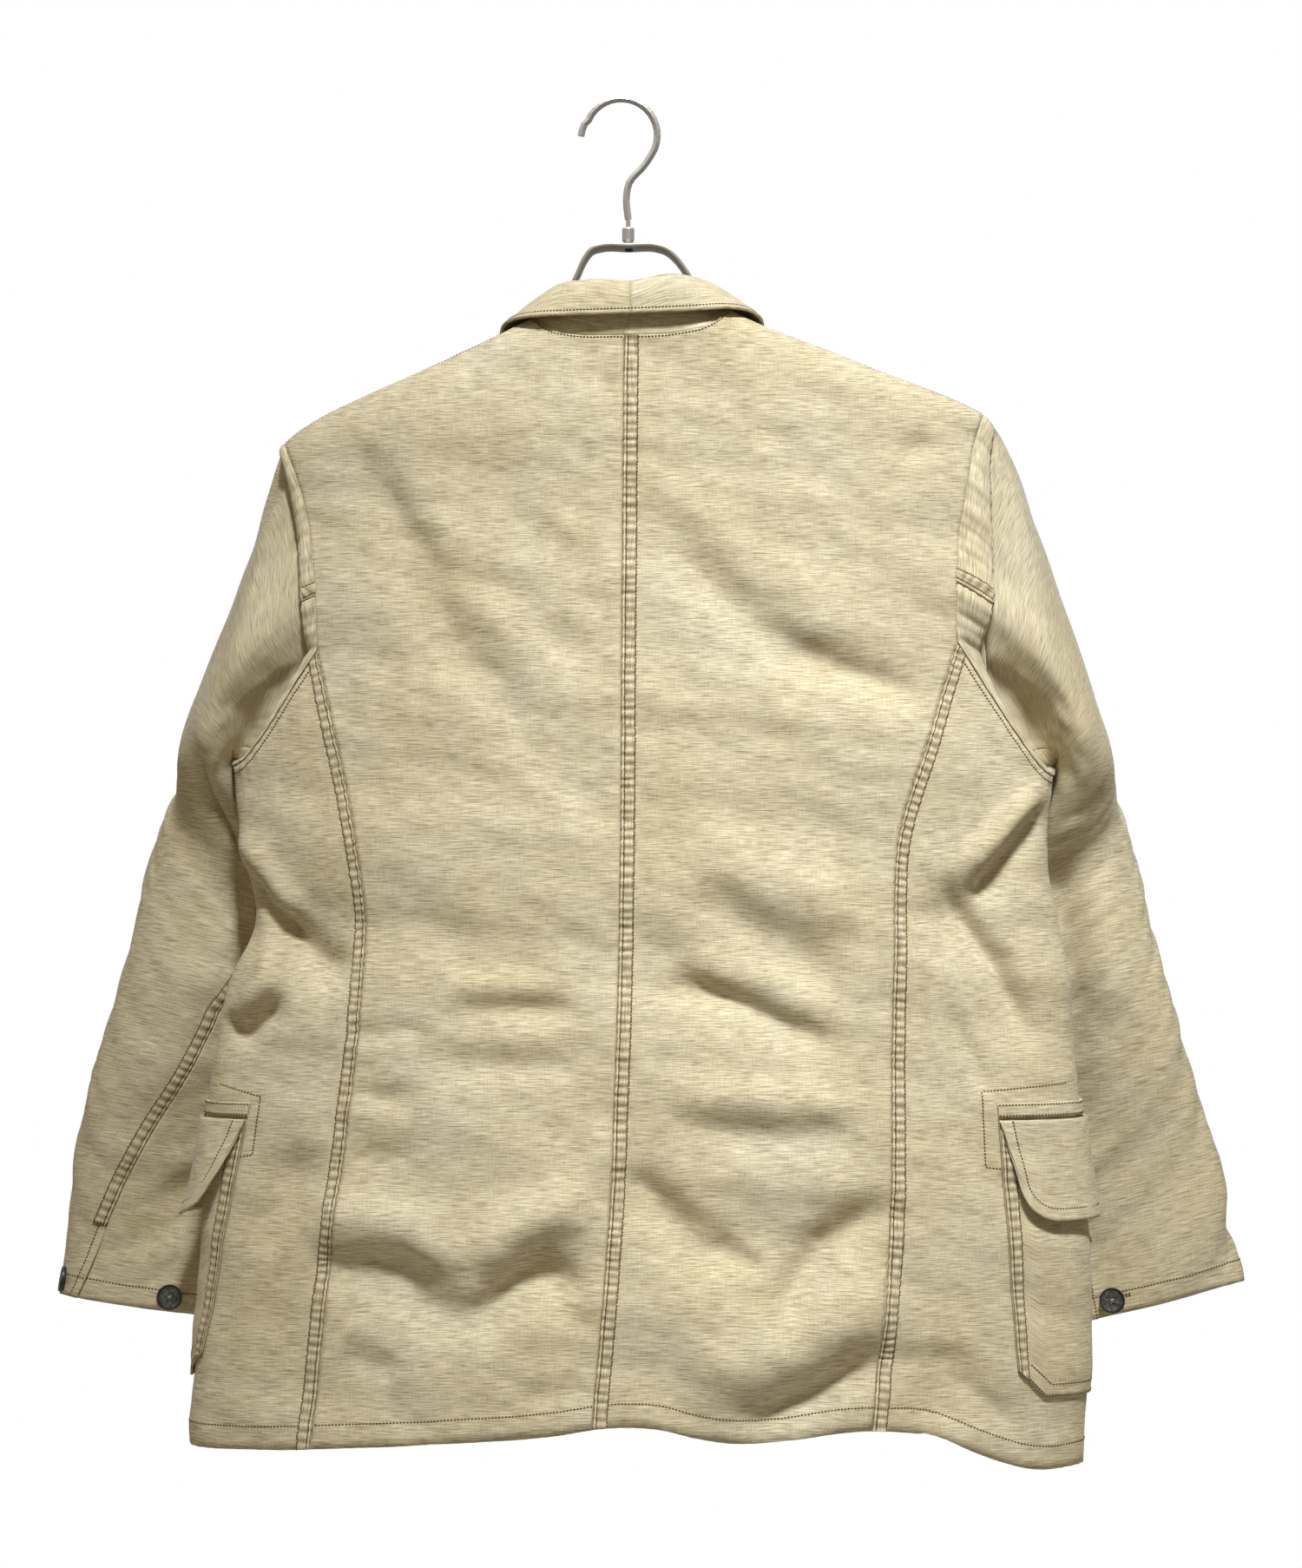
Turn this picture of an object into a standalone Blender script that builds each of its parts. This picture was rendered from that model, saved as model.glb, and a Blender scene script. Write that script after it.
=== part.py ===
"""A coverall jacket of slubby cotton on a metal hanger, each cut-and-sewn piece its own solid.

Metres, +Z up. The back of the jacket faces -Y and its left is at -X. The origin is the
inside top of the hook, where it rests on a rail. Cloth pieces are grids of points on the
form of the hung garment, given their thickness outwards.
"""

import math
from collections import namedtuple

import bmesh
import bpy
import numpy as np
from mathutils import Matrix, Vector

# Cloth and sewing
CLOTH = 0.0014
COLLAR_CLOTH = 0.0020
SEAM_INSET = 0.0002
WELD = 0.00001
SIDES = {"left": -1.0, "right": 1.0}
COLLECTION = "coverall_jacket"

# Grid counts: rows beside the armhole and below it, columns across each panel
ARMHOLE_ROWS = 8
LOWER_ROWS = 13
NECK_COLUMNS = 4
SHOULDER_COLUMNS = 8
SIDE_COLUMNS = 16
SLEEVE_ROWS = 18
COLLAR_ROWS = 20
COLLAR_COLUMNS = 9
CURVE_SAMPLES = 40
SHOULDER_SAMPLES = 9

# The hung body: side edges as seen from behind, and how far the back and front stand out
# from the ridge that the shoulder seams run along
BLUNTNESS = 3.0
RIDGE_Y = 0.0
BodySection = namedtuple("BodySection", "z left right back front")
BODY = [
    BodySection(-0.1400, -0.037, 0.052, 0.044, 0.040),
    BodySection(-0.1600, -0.073, 0.096, 0.045, 0.042),
    BodySection(-0.1776, -0.110, 0.142, 0.046, 0.044),
    BodySection(-0.1962, -0.149, 0.189, 0.047, 0.046),
    BodySection(-0.2144, -0.190, 0.236, 0.047, 0.048),
    BodySection(-0.2256, -0.213, 0.258, 0.047, 0.049),
    BodySection(-0.2444, -0.240, 0.264, 0.047, 0.050),
    BodySection(-0.3000, -0.250, 0.271, 0.049, 0.053),
    BodySection(-0.3850, -0.262, 0.286, 0.051, 0.056),
    BodySection(-0.4750, -0.276, 0.304, 0.052, 0.058),
    BodySection(-0.5450, -0.267, 0.301, 0.050, 0.057),
    BodySection(-0.5840, -0.261, 0.309, 0.048, 0.056),
    BodySection(-0.6300, -0.279, 0.317, 0.048, 0.056),
    BodySection(-0.6800, -0.291, 0.321, 0.050, 0.057),
    BodySection(-0.7950, -0.296, 0.328, 0.053, 0.058),
    BodySection(-0.8820, -0.303, 0.330, 0.056, 0.059),
    BodySection(-0.9900, -0.309, 0.325, 0.058, 0.060),
]

# Seam lines and cut edges of the back, as (x, z) from top to bottom
CENTRE_BACK = [
    (0.0003, -0.1713),
    (-0.0012, -0.3635),
    (-0.0024, -0.5458),
    (-0.0060, -0.6977),
    (-0.0120, -0.8188),
    (-0.0217, -0.9325),
]
NECKLINE = {
    "left": [(0.0003, -0.1713), (-0.0301, -0.1712), (-0.0548, -0.1663)],
    "right": [(0.0003, -0.1713), (0.0367, -0.1698), (0.0642, -0.1626)],
}
NECK_POINT_Z = {"left": -0.1570, "right": -0.1515}
SHOULDER_TIP_Z = {"left": -0.2444, "right": -0.2238}
BACK_ARMHOLE = {
    "left": [(-0.2263, -0.2858), (-0.2192, -0.3223), (-0.2159, -0.3668), (-0.2152, -0.3933)],
    "right": [(0.2441, -0.2662), (0.2374, -0.3075), (0.2342, -0.3521), (0.2350, -0.3872)],
}
UNDERARM_Z = {"left": -0.4745, "right": -0.4815}
# The armhole curve under the arm leaves each end by these shares of the way in turn and height
UNDERARM_BEND = np.array([0.26, 0.59])
PRINCESS = {
    "left": [
        (-0.2152, -0.3933),
        (-0.1984, -0.4664),
        (-0.1864, -0.5273),
        (-0.1805, -0.5883),
        (-0.1840, -0.6492),
        (-0.1924, -0.7227),
        (-0.2030, -0.8077),
        (-0.2176, -0.9490),
    ],
    "right": [
        (0.2350, -0.3872),
        (0.2136, -0.4544),
        (0.1948, -0.5153),
        (0.1895, -0.6186),
        (0.1879, -0.7283),
        (0.1873, -0.7890),
        (0.1829, -0.8495),
        (0.1737, -0.9340),
    ],
}
HEM_BACK = [
    (-0.309, -0.955),
    (-0.241, -0.953),
    (-0.143, -0.949),
    (-0.047, -0.942),
    (-0.013, -0.937),
    (0.026, -0.938),
    (0.051, -0.944),
    (0.087, -0.948),
    (0.123, -0.945),
    (0.171, -0.939),
    (0.221, -0.942),
    (0.245, -0.953),
    (0.269, -0.963),
    (0.295, -0.970),
    (0.325, -0.968),
]

# Hidden front: shallower curves of the same cut, closed left over right
FRONT_ARMHOLE = {
    "left": [(-0.2230, -0.2833), (-0.2140, -0.3250), (-0.2100, -0.3700), (-0.2110, -0.3980)],
    "right": [(0.2400, -0.2635), (0.2310, -0.3100), (0.2280, -0.3580), (0.2290, -0.3930)],
}
FRONT_LINE_HEM_X = {"left": -0.2050, "right": 0.2150}
HEM_FRONT = [(-0.309, -0.955), (-0.150, -0.954), (0.010, -0.953), (0.150, -0.957), (0.325, -0.968)]
CENTRE_FRONT_X = 0.010
FRONT_OVERLAP = 0.036
OVERLAP_LIFT = 0.0042
OVERLAP_START = 1.5
BREAK_Z = -0.415
BUTTON_Z = [-0.440, -0.560, -0.680]

# The largest folds: ridges stand out, troughs sink in
Fold = namedtuple("Fold", "width height path")
BACK_FOLDS = [
    Fold(0.020, -0.0110, [(-0.197, -0.237), (-0.162, -0.306), (-0.137, -0.339), (-0.105, -0.410)]),
    Fold(0.022, 0.0070, [(-0.167, -0.229), (-0.127, -0.299), (-0.088, -0.373)]),
    Fold(0.018, -0.0060, [(-0.108, -0.280), (-0.080, -0.336), (-0.052, -0.378)]),
    Fold(0.022, -0.0100, [(0.038, -0.302), (0.083, -0.343), (0.125, -0.376), (0.184, -0.395)]),
    Fold(0.020, 0.0060, [(0.059, -0.274), (0.118, -0.333), (0.177, -0.363)]),
    Fold(0.018, -0.0075, [(0.125, -0.247), (0.175, -0.286)]),
    Fold(0.026, -0.0090, [(-0.122, -0.638), (-0.019, -0.630)]),
    Fold(0.022, 0.0065, [(0.014, -0.598), (0.172, -0.643)]),
    Fold(0.024, -0.0100, [(-0.193, -0.803), (-0.127, -0.809), (-0.059, -0.790)]),
    Fold(0.024, -0.0100, [(0.014, -0.777), (0.079, -0.814), (0.142, -0.850)]),
    Fold(0.020, 0.0075, [(0.020, -0.728), (0.172, -0.745)]),
    Fold(0.026, -0.0100, [(0.084, -0.949), (0.087, -0.892)]),
    Fold(0.016, -0.0120, [(-0.219, -0.734), (-0.241, -0.783), (-0.260, -0.822)]),
    Fold(0.020, -0.0150, [(-0.222, -0.599), (-0.237, -0.619)]),
    Fold(0.013, 0.0100, [(-0.255, -0.544), (-0.237, -0.573)]),
    Fold(0.014, 0.0110, [(0.298, -0.490), (0.242, -0.552)]),
    Fold(0.018, -0.0120, [(0.282, -0.535), (0.232, -0.579), (0.259, -0.628), (0.282, -0.678)]),
    Fold(0.026, -0.0110, [(0.219, -0.947), (0.223, -0.873)]),
]
FRONT_FOLDS = [
    Fold(0.022, -0.0070, [(-0.190, -0.260), (-0.120, -0.380)]),
    Fold(0.022, -0.0070, [(0.200, -0.250), (0.130, -0.380)]),
    Fold(0.026, -0.0080, [(-0.180, -0.620), (-0.060, -0.660)]),
    Fold(0.026, -0.0080, [(0.190, -0.610), (0.070, -0.655)]),
    Fold(0.028, 0.0060, [(-0.140, -0.950), (-0.120, -0.800)]),
    Fold(0.028, 0.0060, [(0.130, -0.950), (0.120, -0.800)]),
]

# Sleeves: outer edge and height of each section's middle, half sizes, and turns in degrees
SleeveSection = namedtuple("SleeveSection", "along outer z y wide deep toe tilt twist")
SLEEVE = {
    "left": [
        SleeveSection(0.22, -0.3170, -0.470, 0.040, 0.0220, 0.060, 0, 30, 0),
        SleeveSection(0.36, -0.3385, -0.545, 0.071, 0.0470, 0.047, 25, 16, 22),
        SleeveSection(0.58, -0.3650, -0.652, 0.070, 0.0700, 0.038, 26, 12, 4),
        SleeveSection(0.80, -0.3995, -0.772, 0.078, 0.0710, 0.031, 22, 10, -20),
        SleeveSection(1.00, -0.4075, -0.870, 0.076, 0.0680, 0.028, 20, 10, -53),
    ],
    "right": [
        SleeveSection(0.22, 0.3480, -0.470, 0.040, 0.0220, 0.060, 0, 30, 0),
        SleeveSection(0.36, 0.3665, -0.545, 0.071, 0.0470, 0.047, 25, 16, 10),
        SleeveSection(0.58, 0.3920, -0.652, 0.070, 0.0700, 0.038, 26, 14, 28),
        SleeveSection(0.80, 0.4285, -0.772, 0.078, 0.0720, 0.031, 22, 15, 38),
        SleeveSection(1.00, 0.4495, -0.868, 0.076, 0.0700, 0.028, 20, 16, 43),
    ],
}
SLEEVE_START_GAP = 0.0014
UNDERARM_RISE = 0.0024
HIND_COLUMN = ARMHOLE_ROWS - 2
FORE_COLUMN = 2 * ARMHOLE_ROWS + SIDE_COLUMNS - ARMHOLE_ROWS + 1
VENT_HEIGHT = 0.070
VENT_OVERLAP = 0.001
VENT_LIFT = 0.0034
VENT_OPENS_OVER = 0.035
# How the sleeve leaves the armhole at its crown, back, underarm and front
HeadLeaving = namedtuple("HeadLeaving", "out forward up")
CROWN = {"left": HeadLeaving(0.20, 0.10, -0.60), "right": HeadLeaving(0.50, 0.10, -0.48)}
HEAD = {
    "back": HeadLeaving(0.50, -0.06, -0.25),
    "under": HeadLeaving(0.12, 0.32, -0.05),
    "front": HeadLeaving(0.45, 0.20, -0.30),
}
SLEEVE_FOLDS = [
    Fold(0.018, -0.0070, [(0.040, -0.060), (0.052, -0.170), (0.045, -0.260)]),
    Fold(0.020, 0.0050, [(0.060, -0.300), (0.080, -0.480)]),
    Fold(0.018, -0.0060, [(0.110, -0.500), (0.180, -0.560)]),
    Fold(0.020, -0.0060, [(0.270, -0.200), (0.320, -0.330)]),
]
SLEEVE_GIRTH = 0.40
SLEEVE_LENGTH = 0.63
HEAD_SHARE = 0.08

# Shawl collar at the back of the neck: how far round the neckline each section stands, then
# the points it goes through above the seam, over its roll and down to the loose edge
NeckSection = namedtuple("NeckSection", "share rise roll drop edge")
CENTRE_COLLAR = NeckSection(
    0.0,
    (0.0053, -0.0430, -0.1515),
    (0.0053, -0.0410, -0.1345),
    (0.0053, -0.0490, -0.1405),
    (0.0053, -0.0545, -0.1572),
)
COLLAR_BACK = {
    "left": [
        CENTRE_COLLAR,
        NeckSection(
            0.46,
            (-0.0292, -0.0415, -0.1510),
            (-0.0263, -0.0385, -0.1335),
            (-0.0301, -0.0465, -0.1395),
            (-0.0348, -0.0535, -0.1585),
        ),
        NeckSection(
            0.78,
            (-0.0510, -0.0300, -0.1515),
            (-0.0445, -0.0250, -0.1350),
            (-0.0510, -0.0320, -0.1410),
            (-0.0670, -0.0400, -0.1590),
        ),
        NeckSection(
            0.94,
            (-0.0640, -0.0065, -0.1530),
            (-0.0620, -0.0040, -0.1470),
            (-0.0695, -0.0080, -0.1508),
            (-0.0835, -0.0140, -0.1605),
        ),
    ],
    "right": [
        CENTRE_COLLAR,
        NeckSection(
            0.43,
            (0.0367, -0.0415, -0.1490),
            (0.0348, -0.0385, -0.1295),
            (0.0386, -0.0465, -0.1360),
            (0.0435, -0.0535, -0.1556),
        ),
        NeckSection(
            0.78,
            (0.0605, -0.0300, -0.1490),
            (0.0540, -0.0250, -0.1310),
            (0.0615, -0.0320, -0.1370),
            (0.0795, -0.0400, -0.1530),
        ),
        NeckSection(
            0.94,
            (0.0750, -0.0065, -0.1462),
            (0.0742, -0.0040, -0.1404),
            (0.0820, -0.0080, -0.1450),
            (0.0960, -0.0140, -0.1552),
        ),
    ],
}
NECK_SEAM_GAP = 0.0010
# Lapels lie on the fronts: how far down the roll line, their width there and their stand-off
LapelSection = namedtuple("LapelSection", "down width stand_off")
LAPEL = {
    "left": [
        LapelSection(0.16, 0.034, 0.0060),
        LapelSection(0.40, 0.058, 0.0055),
        LapelSection(0.66, 0.064, 0.0050),
        LapelSection(0.84, 0.044, 0.0048),
        LapelSection(0.95, 0.014, 0.0046),
    ],
    "right": [
        LapelSection(0.16, 0.034, 0.0060),
        LapelSection(0.36, 0.056, 0.0055),
        LapelSection(0.54, 0.060, 0.0050),
        LapelSection(0.66, 0.042, 0.0048),
        LapelSection(0.73, 0.016, 0.0046),
    ],
}
LAPEL_TURN = 0.0030
# Each lapel section turns over at these shares of LAPEL_TURN and stand_off, then lies flat
LAPEL_OVER = [(-0.7, 0.2), (-1.0, 0.5), (-0.8, 0.95)]
LAPEL_FLAT = [0.35, 1.0]
COLLAR_SEAM_INSET = 0.0005

# Patch pockets, welts and flaps, each from its back edge round the side to the front
POCKET_TOP = -0.7110
POCKET_LENGTH = 0.190
POCKET_BACK_X = {"left": (-0.262, -0.297), "right": (0.2625, 0.277)}
POCKET_FOOT = {"left": -0.908, "right": -0.918}
POCKET_WIDTH = 0.165
POCKET_CORNER = 0.020
POCKET_COLUMNS = 10
POCKET_ROWS = 8
POCKET_SEARCH = 2.2
POCKET_SEARCH_STEPS = 120
POCKET_STAND_OFF = 0.0042
WELT_HEIGHT = 0.010
WELT_GAP = 0.002
FLAP_HEIGHT = 0.071
FLAP_CORNER = 0.015
FLAP_LEAN = 0.008
FLAP_ROWS = 5
FLAP_STAND_OFF = 0.0074
FLAP_FLARE = {"left": 0.014, "right": 0.009}
FLAP_CURL = 1.5

BUTTON_RADIUS = 0.0093
BUTTON_THICKNESS = 0.0032
BUTTON_STAND_OFF = 0.0012
BUTTON_EDGE = 0.0008
BUTTON_SIDES = 20
# Cuff buttons: distance from the vent's edge on each sleeve piece, and from the cuff's edge
CUFF_BUTTON_FROM_VENT = (0.017, 0.062)
CUFF_BUTTON_UP = 0.011

# Hanger
HOOK_WIRE_RADIUS = 0.0025
HOOK_ARC_RADIUS = 0.0258
HOOK_ARC_X = -0.0015
HOOK_ARC_Z = HOOK_WIRE_RADIUS - HOOK_ARC_RADIUS
HOOK_ARC_DEGREES = (158, -35)
HOOK_ARC_POINTS = 22
HOOK_STEPS = 34
HOOK_TIP = [(-0.0302, -0.0240), (-0.0272, -0.0150)]
HOOK_SWAN_NECK = [(0.0150, -0.0450), (0.0040, -0.0580), (0.0022, -0.0680), (0.0035, -0.0835)]
STEM_X = 0.0035
FERRULE = [
    (0.0, -0.0840),
    (0.0016, -0.0840),
    (0.0016, -0.0892),
    (0.0041, -0.0898),
    (0.0044, -0.0906),
    (0.0044, -0.0984),
    (0.0036, -0.0998),
    (0.0036, -0.1018),
    (0.0, -0.1018),
]
FERRULE_STEPS = 20
STRIP_DEPTH = 0.025
STRIP_THICKNESS = 0.003
STRIP_STEPS = 44
HANDLE = [
    (-0.0720, -0.1750),
    (-0.0580, -0.1690),
    (-0.0490, -0.1560),
    (-0.0329, -0.1246),
    (-0.0270, -0.1120),
    (-0.0225, -0.1062),
    (-0.0150, -0.1039),
    (0.0040, -0.1039),
    (0.0230, -0.1039),
    (0.0305, -0.1062),
    (0.0365, -0.1110),
    (0.0446, -0.1215),
    (0.0590, -0.1490),
    (0.0680, -0.1620),
    (0.0830, -0.1690),
]
ARM_DROP = 0.0135
ARM_POINTS = slice(2, 8, 2)


# Curves and patches


def smooth(knots, values, at, first_slope=None):
    """Reads, at the given places, a smooth curve through values at rising knots."""
    knots = np.asarray(knots, float)
    values = np.asarray(values, float)
    slopes = np.gradient(values, knots, axis=0)
    if first_slope is not None:
        slopes[0] = first_slope
    at = np.asarray(at, float)
    low = np.clip(np.searchsorted(knots, at, side="right") - 1, 0, len(knots) - 2)
    extra = (1,) * (values.ndim - 1)
    span = (knots[low + 1] - knots[low]).reshape(at.shape + extra)
    t = ((at - knots[low]).reshape(at.shape + extra)) / span
    start = (2 * t**3 - 3 * t**2 + 1) * values[low] + (t**3 - 2 * t**2 + t) * span * slopes[low]
    end = (3 * t**2 - 2 * t**3) * values[low + 1] + (t**3 - t**2) * span * slopes[low + 1]
    return start + end


def spread(points, count):
    """Points at even steps, count steps in all, along a smooth curve through the given points."""
    points = np.asarray(points, float)
    knots = np.concatenate([[0], np.cumsum(np.linalg.norm(np.diff(points, axis=0), axis=1))])
    fine = smooth(knots, points, np.linspace(0, knots[-1], CURVE_SAMPLES * len(points)))
    length = np.concatenate([[0], np.cumsum(np.linalg.norm(np.diff(fine, axis=0), axis=1))])
    even = np.linspace(0, length[-1], count + 1)
    return np.stack([np.interp(even, length, fine[:, axis]) for axis in range(fine.shape[1])], axis=1)


def joined(*runs):
    """One run of points from several that share their end points."""
    return np.concatenate([runs[0]] + [run[1:] for run in runs[1:]])


def patch(top, bottom, first, last):
    """Grid of points between four edges: rows from top to bottom, columns from first to last."""
    down = np.linspace(0, 1, len(first))[:, None, None]
    across = np.linspace(0, 1, len(top))[None, :, None]
    between_ends = (1 - down) * top[None] + down * bottom[None]
    between_sides = (1 - across) * first[:, None] + across * last[:, None]
    top_line = (1 - across) * top[0] + across * top[-1]
    bottom_line = (1 - across) * bottom[0] + across * bottom[-1]
    return between_ends + between_sides - (1 - down) * top_line - down * bottom_line


def units(vectors):
    return vectors / np.linalg.norm(vectors, axis=-1, keepdims=True)


def normals(points):
    """Outward directions of a grid whose columns and rows turn right-handed seen from outside."""
    return units(np.cross(np.gradient(points, axis=1), np.gradient(points, axis=0)))


def drawn_in(points, first=False, last=False, top=False):
    """The grid with the named edges pulled in, so that a neighbour sewn there stays clear."""
    points = points.copy()
    if first:
        points[:, 0] += SEAM_INSET * units(points[:, 1] - points[:, 0])
    if last:
        points[:, -1] += SEAM_INSET * units(points[:, -2] - points[:, -1])
    if top:
        points[0] += SEAM_INSET * units(points[1] - points[0])
    return points


# Form of the hung body


def fold_height(folds, x, z):
    """Sum of soft ridges and troughs, each along a path, at places (x, z)."""
    total = np.zeros(np.shape(x))
    for fold in folds:
        nearest = np.full(np.shape(x), np.inf)
        for (x0, z0), (x1, z1) in zip(fold.path, fold.path[1:]):
            length_squared = (x1 - x0) ** 2 + (z1 - z0) ** 2
            part = ((x - x0) * (x1 - x0) + (z - z0) * (z1 - z0)) / length_squared
            part = np.clip(part, 0, 1)
            gap = (x - x0 - part * (x1 - x0)) ** 2 + (z - z0 - part * (z1 - z0)) ** 2
            nearest = np.minimum(nearest, gap)
        total += fold.height * np.exp(-nearest / fold.width**2)
    return total


def body_at(z):
    """Left edge, right edge, back depth and front depth of the body at heights z."""
    rows = np.array(BODY)
    read = smooth(-rows[:, 0], rows[:, 1:], -np.asarray(z, float))
    return [read[..., column] for column in range(4)]


def share_across(x, z):
    """How far across the body x lies: -1 at its left edge, 1 at its right edge."""
    left, right, _, _ = body_at(z)
    return np.clip((2 * x - left - right) / (right - left), -1, 1)


def turn_at(x, z, face):
    """Turn round the body, 0 at centre back and pi at centre front, of a place on one face."""
    share = share_across(x, z)
    back_turn = np.arcsin(np.sign(share) * np.abs(share) ** (BLUNTNESS / 2))
    return back_turn if face == "back" else np.sign(share) * np.pi - back_turn


def body_point(turn, z):
    """Points of the body's form, with its folds."""
    left, right, back, front = body_at(z)
    share = np.sign(np.sin(turn)) * np.abs(np.sin(turn)) ** (2 / BLUNTNESS)
    reach = np.abs(np.cos(turn)) ** (2 / BLUNTNESS)
    x = (left + right) / 2 + share * (right - left) / 2
    fade = 1 - share**4
    behind = np.cos(turn) > 0
    y_back = -back * reach - fade * fold_height(BACK_FOLDS, x, z)
    y_front = front * reach + fade * fold_height(FRONT_FOLDS, x, z)
    return np.stack([x, np.where(behind, y_back, y_front), z], axis=-1)


def on_face(flat, face):
    """Body points of places (x, z) on the back or the front."""
    x, z = flat[..., 0], flat[..., 1]
    return body_point(turn_at(x, z, face), z)


def shoulder_line(side):
    """The shoulder seam from neck to tip, along the ridge of the body."""
    z = np.linspace(NECK_POINT_Z[side], SHOULDER_TIP_Z[side], SHOULDER_SAMPLES)
    edges = body_at(z)
    return spread(np.stack([edges[0] if side == "left" else edges[1], z], axis=-1), SHOULDER_COLUMNS)


def hem_z(x, face):
    table = np.array(HEM_BACK if face == "back" else HEM_FRONT)
    return smooth(table[:, 0], table[:, 1], np.clip(x, table[0, 0], table[-1, 0]))


def hem_line(start_x, end_x, face, count):
    x = np.linspace(start_x, end_x, count + 1)
    return np.stack([x, hem_z(x, face)], axis=-1)


# Panels, each grid going round the body from centre back past the side to the front


def back_panel(side):
    shoulder = shoulder_line(side)
    neck = spread(NECKLINE[side] + [tuple(shoulder[0])], NECK_COLUMNS)
    armhole = spread([tuple(shoulder[-1])] + BACK_ARMHOLE[side], ARMHOLE_ROWS)
    princess = spread(PRINCESS[side], LOWER_ROWS)
    princess[-1, 1] = hem_z(princess[-1, 0], "back")
    centre = np.array(CENTRE_BACK)
    split = armhole[-1, 1]
    centre_z = joined(
        np.linspace(centre[0, 1], split, ARMHOLE_ROWS + 1),
        np.linspace(split, centre[-1, 1], LOWER_ROWS + 1),
    )
    centre_line = np.stack([smooth(-centre[:, 1], centre[:, 0], -centre_z), centre_z], axis=-1)
    hem = hem_line(centre_line[-1, 0], princess[-1, 0], "back", NECK_COLUMNS + SHOULDER_COLUMNS)
    centre_line[-1] = hem[0]
    flat = patch(joined(neck, shoulder), hem, centre_line, joined(armhole, princess))
    points = on_face(flat, "back")
    points[0, NECK_COLUMNS:, 1] = RIDGE_Y
    return points


def turns_and_heights(flat, face):
    return np.stack([turn_at(flat[:, 0], flat[:, 1], face), flat[:, 1]], axis=-1)


def front_edges(side):
    """Front armhole, and below it the line where the front turns into the side part."""
    shoulder = shoulder_line(side)
    armhole = spread([tuple(shoulder[-1])] + FRONT_ARMHOLE[side], ARMHOLE_ROWS)
    foot_x = FRONT_LINE_HEM_X[side]
    line = spread([tuple(armhole[-1]), (foot_x, hem_z(foot_x, "front"))], LOWER_ROWS)
    return armhole, line


def side_part(side):
    """The part of a front that goes round the side, as (turn, z)."""
    princess = spread(PRINCESS[side], LOWER_ROWS)
    princess[-1, 1] = hem_z(princess[-1, 0], "back")
    _, line = front_edges(side)
    start = turns_and_heights(princess, "back")
    end = turns_and_heights(line, "front")
    quarter = SIDES[side] * np.pi / 2
    underarm = np.array([quarter, UNDERARM_Z[side]])
    near_back = start[0] + UNDERARM_BEND * (underarm - start[0])
    near_front = end[0] + UNDERARM_BEND * (underarm - end[0])
    top = spread_by_turn([start[0], near_back, underarm, near_front, end[0]], SIDE_COLUMNS)
    turn = np.linspace(start[-1, 0], end[-1, 0], SIDE_COLUMNS + 1)
    foot = body_point(turn, np.full(turn.shape, start[-1, 1]))
    face_share = (1 - np.cos(turn)) / 2
    foot_z = (1 - face_share) * hem_z(foot[:, 0], "back") + face_share * hem_z(foot[:, 0], "front")
    bottom = np.stack([turn, foot_z], axis=-1)
    bottom[0], bottom[-1] = start[-1], end[-1]
    return patch(top, bottom, start, end)


def spread_by_turn(points, count):
    """A smooth run of (turn, z) places with even steps of turn."""
    points = np.asarray(points, float)
    way = np.sign(points[-1, 0] - points[0, 0])
    turn = np.linspace(points[0, 0], points[-1, 0], count + 1)
    return np.stack([turn, smooth(way * points[:, 0], points[:, 1], way * turn)], axis=-1)


def overlap_lift(side, x):
    """The left front lies over the right one along the centre front."""
    if side == "right":
        return np.zeros(np.shape(x))
    rise = np.clip((x - CENTRE_FRONT_X) / FRONT_OVERLAP + OVERLAP_START, 0, 1)
    return OVERLAP_LIFT * rise**2 * (3 - 2 * rise)


def front_edge_x(side):
    return CENTRE_FRONT_X - SIDES[side] * FRONT_OVERLAP / 2


def front_panel(side):
    """The front from the line beside the armhole to its edge; the roll line is its upper edge."""
    shoulder = shoulder_line(side)
    armhole, line = front_edges(side)
    edge_x = front_edge_x(side)
    roll = spread([tuple(shoulder[0]), (edge_x, BREAK_Z)], ARMHOLE_ROWS)
    edge = spread([(edge_x, BREAK_Z), (edge_x, hem_z(edge_x, "front"))], LOWER_ROWS)
    hem = hem_line(line[-1, 0], edge_x, "front", SHOULDER_COLUMNS)
    flat = patch(shoulder[::-1], hem, joined(armhole, line), joined(roll, edge))
    points = on_face(flat, "front")
    points[..., 1] += overlap_lift(side, points[..., 0])
    points[0, :, 1] = RIDGE_Y
    return points


# Sleeves


def armhole_loop(side):
    """Points round the armhole: down the back from the shoulder tip, up the front."""
    back = back_panel(side)[: ARMHOLE_ROWS + 1, -1]
    flat = side_part(side)
    under = body_point(flat[0, :, 0], flat[0, :, 1])
    front = front_panel(side)[: ARMHOLE_ROWS + 1, 0][::-1]
    return joined(back, under, front)[:-1]


def sleeve_ring(section, side, around):
    """An oval section of the sleeve; around is 0 at its outer edge, a quarter turn at its back."""
    sign = SIDES[side]
    toe, tilt = math.radians(section.toe), math.radians(section.tilt)
    out = np.array([sign * math.cos(toe) * math.cos(tilt), -math.sin(toe), math.sin(tilt)])
    behind = np.array([-sign * math.sin(toe), -math.cos(toe), 0.0])
    centre = np.array([section.outer - section.wide * out[0], section.y, section.z])
    angle = (around + math.radians(section.twist))[:, None]
    return centre + section.wide * np.cos(angle) * out + section.deep * np.sin(angle) * behind


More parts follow.
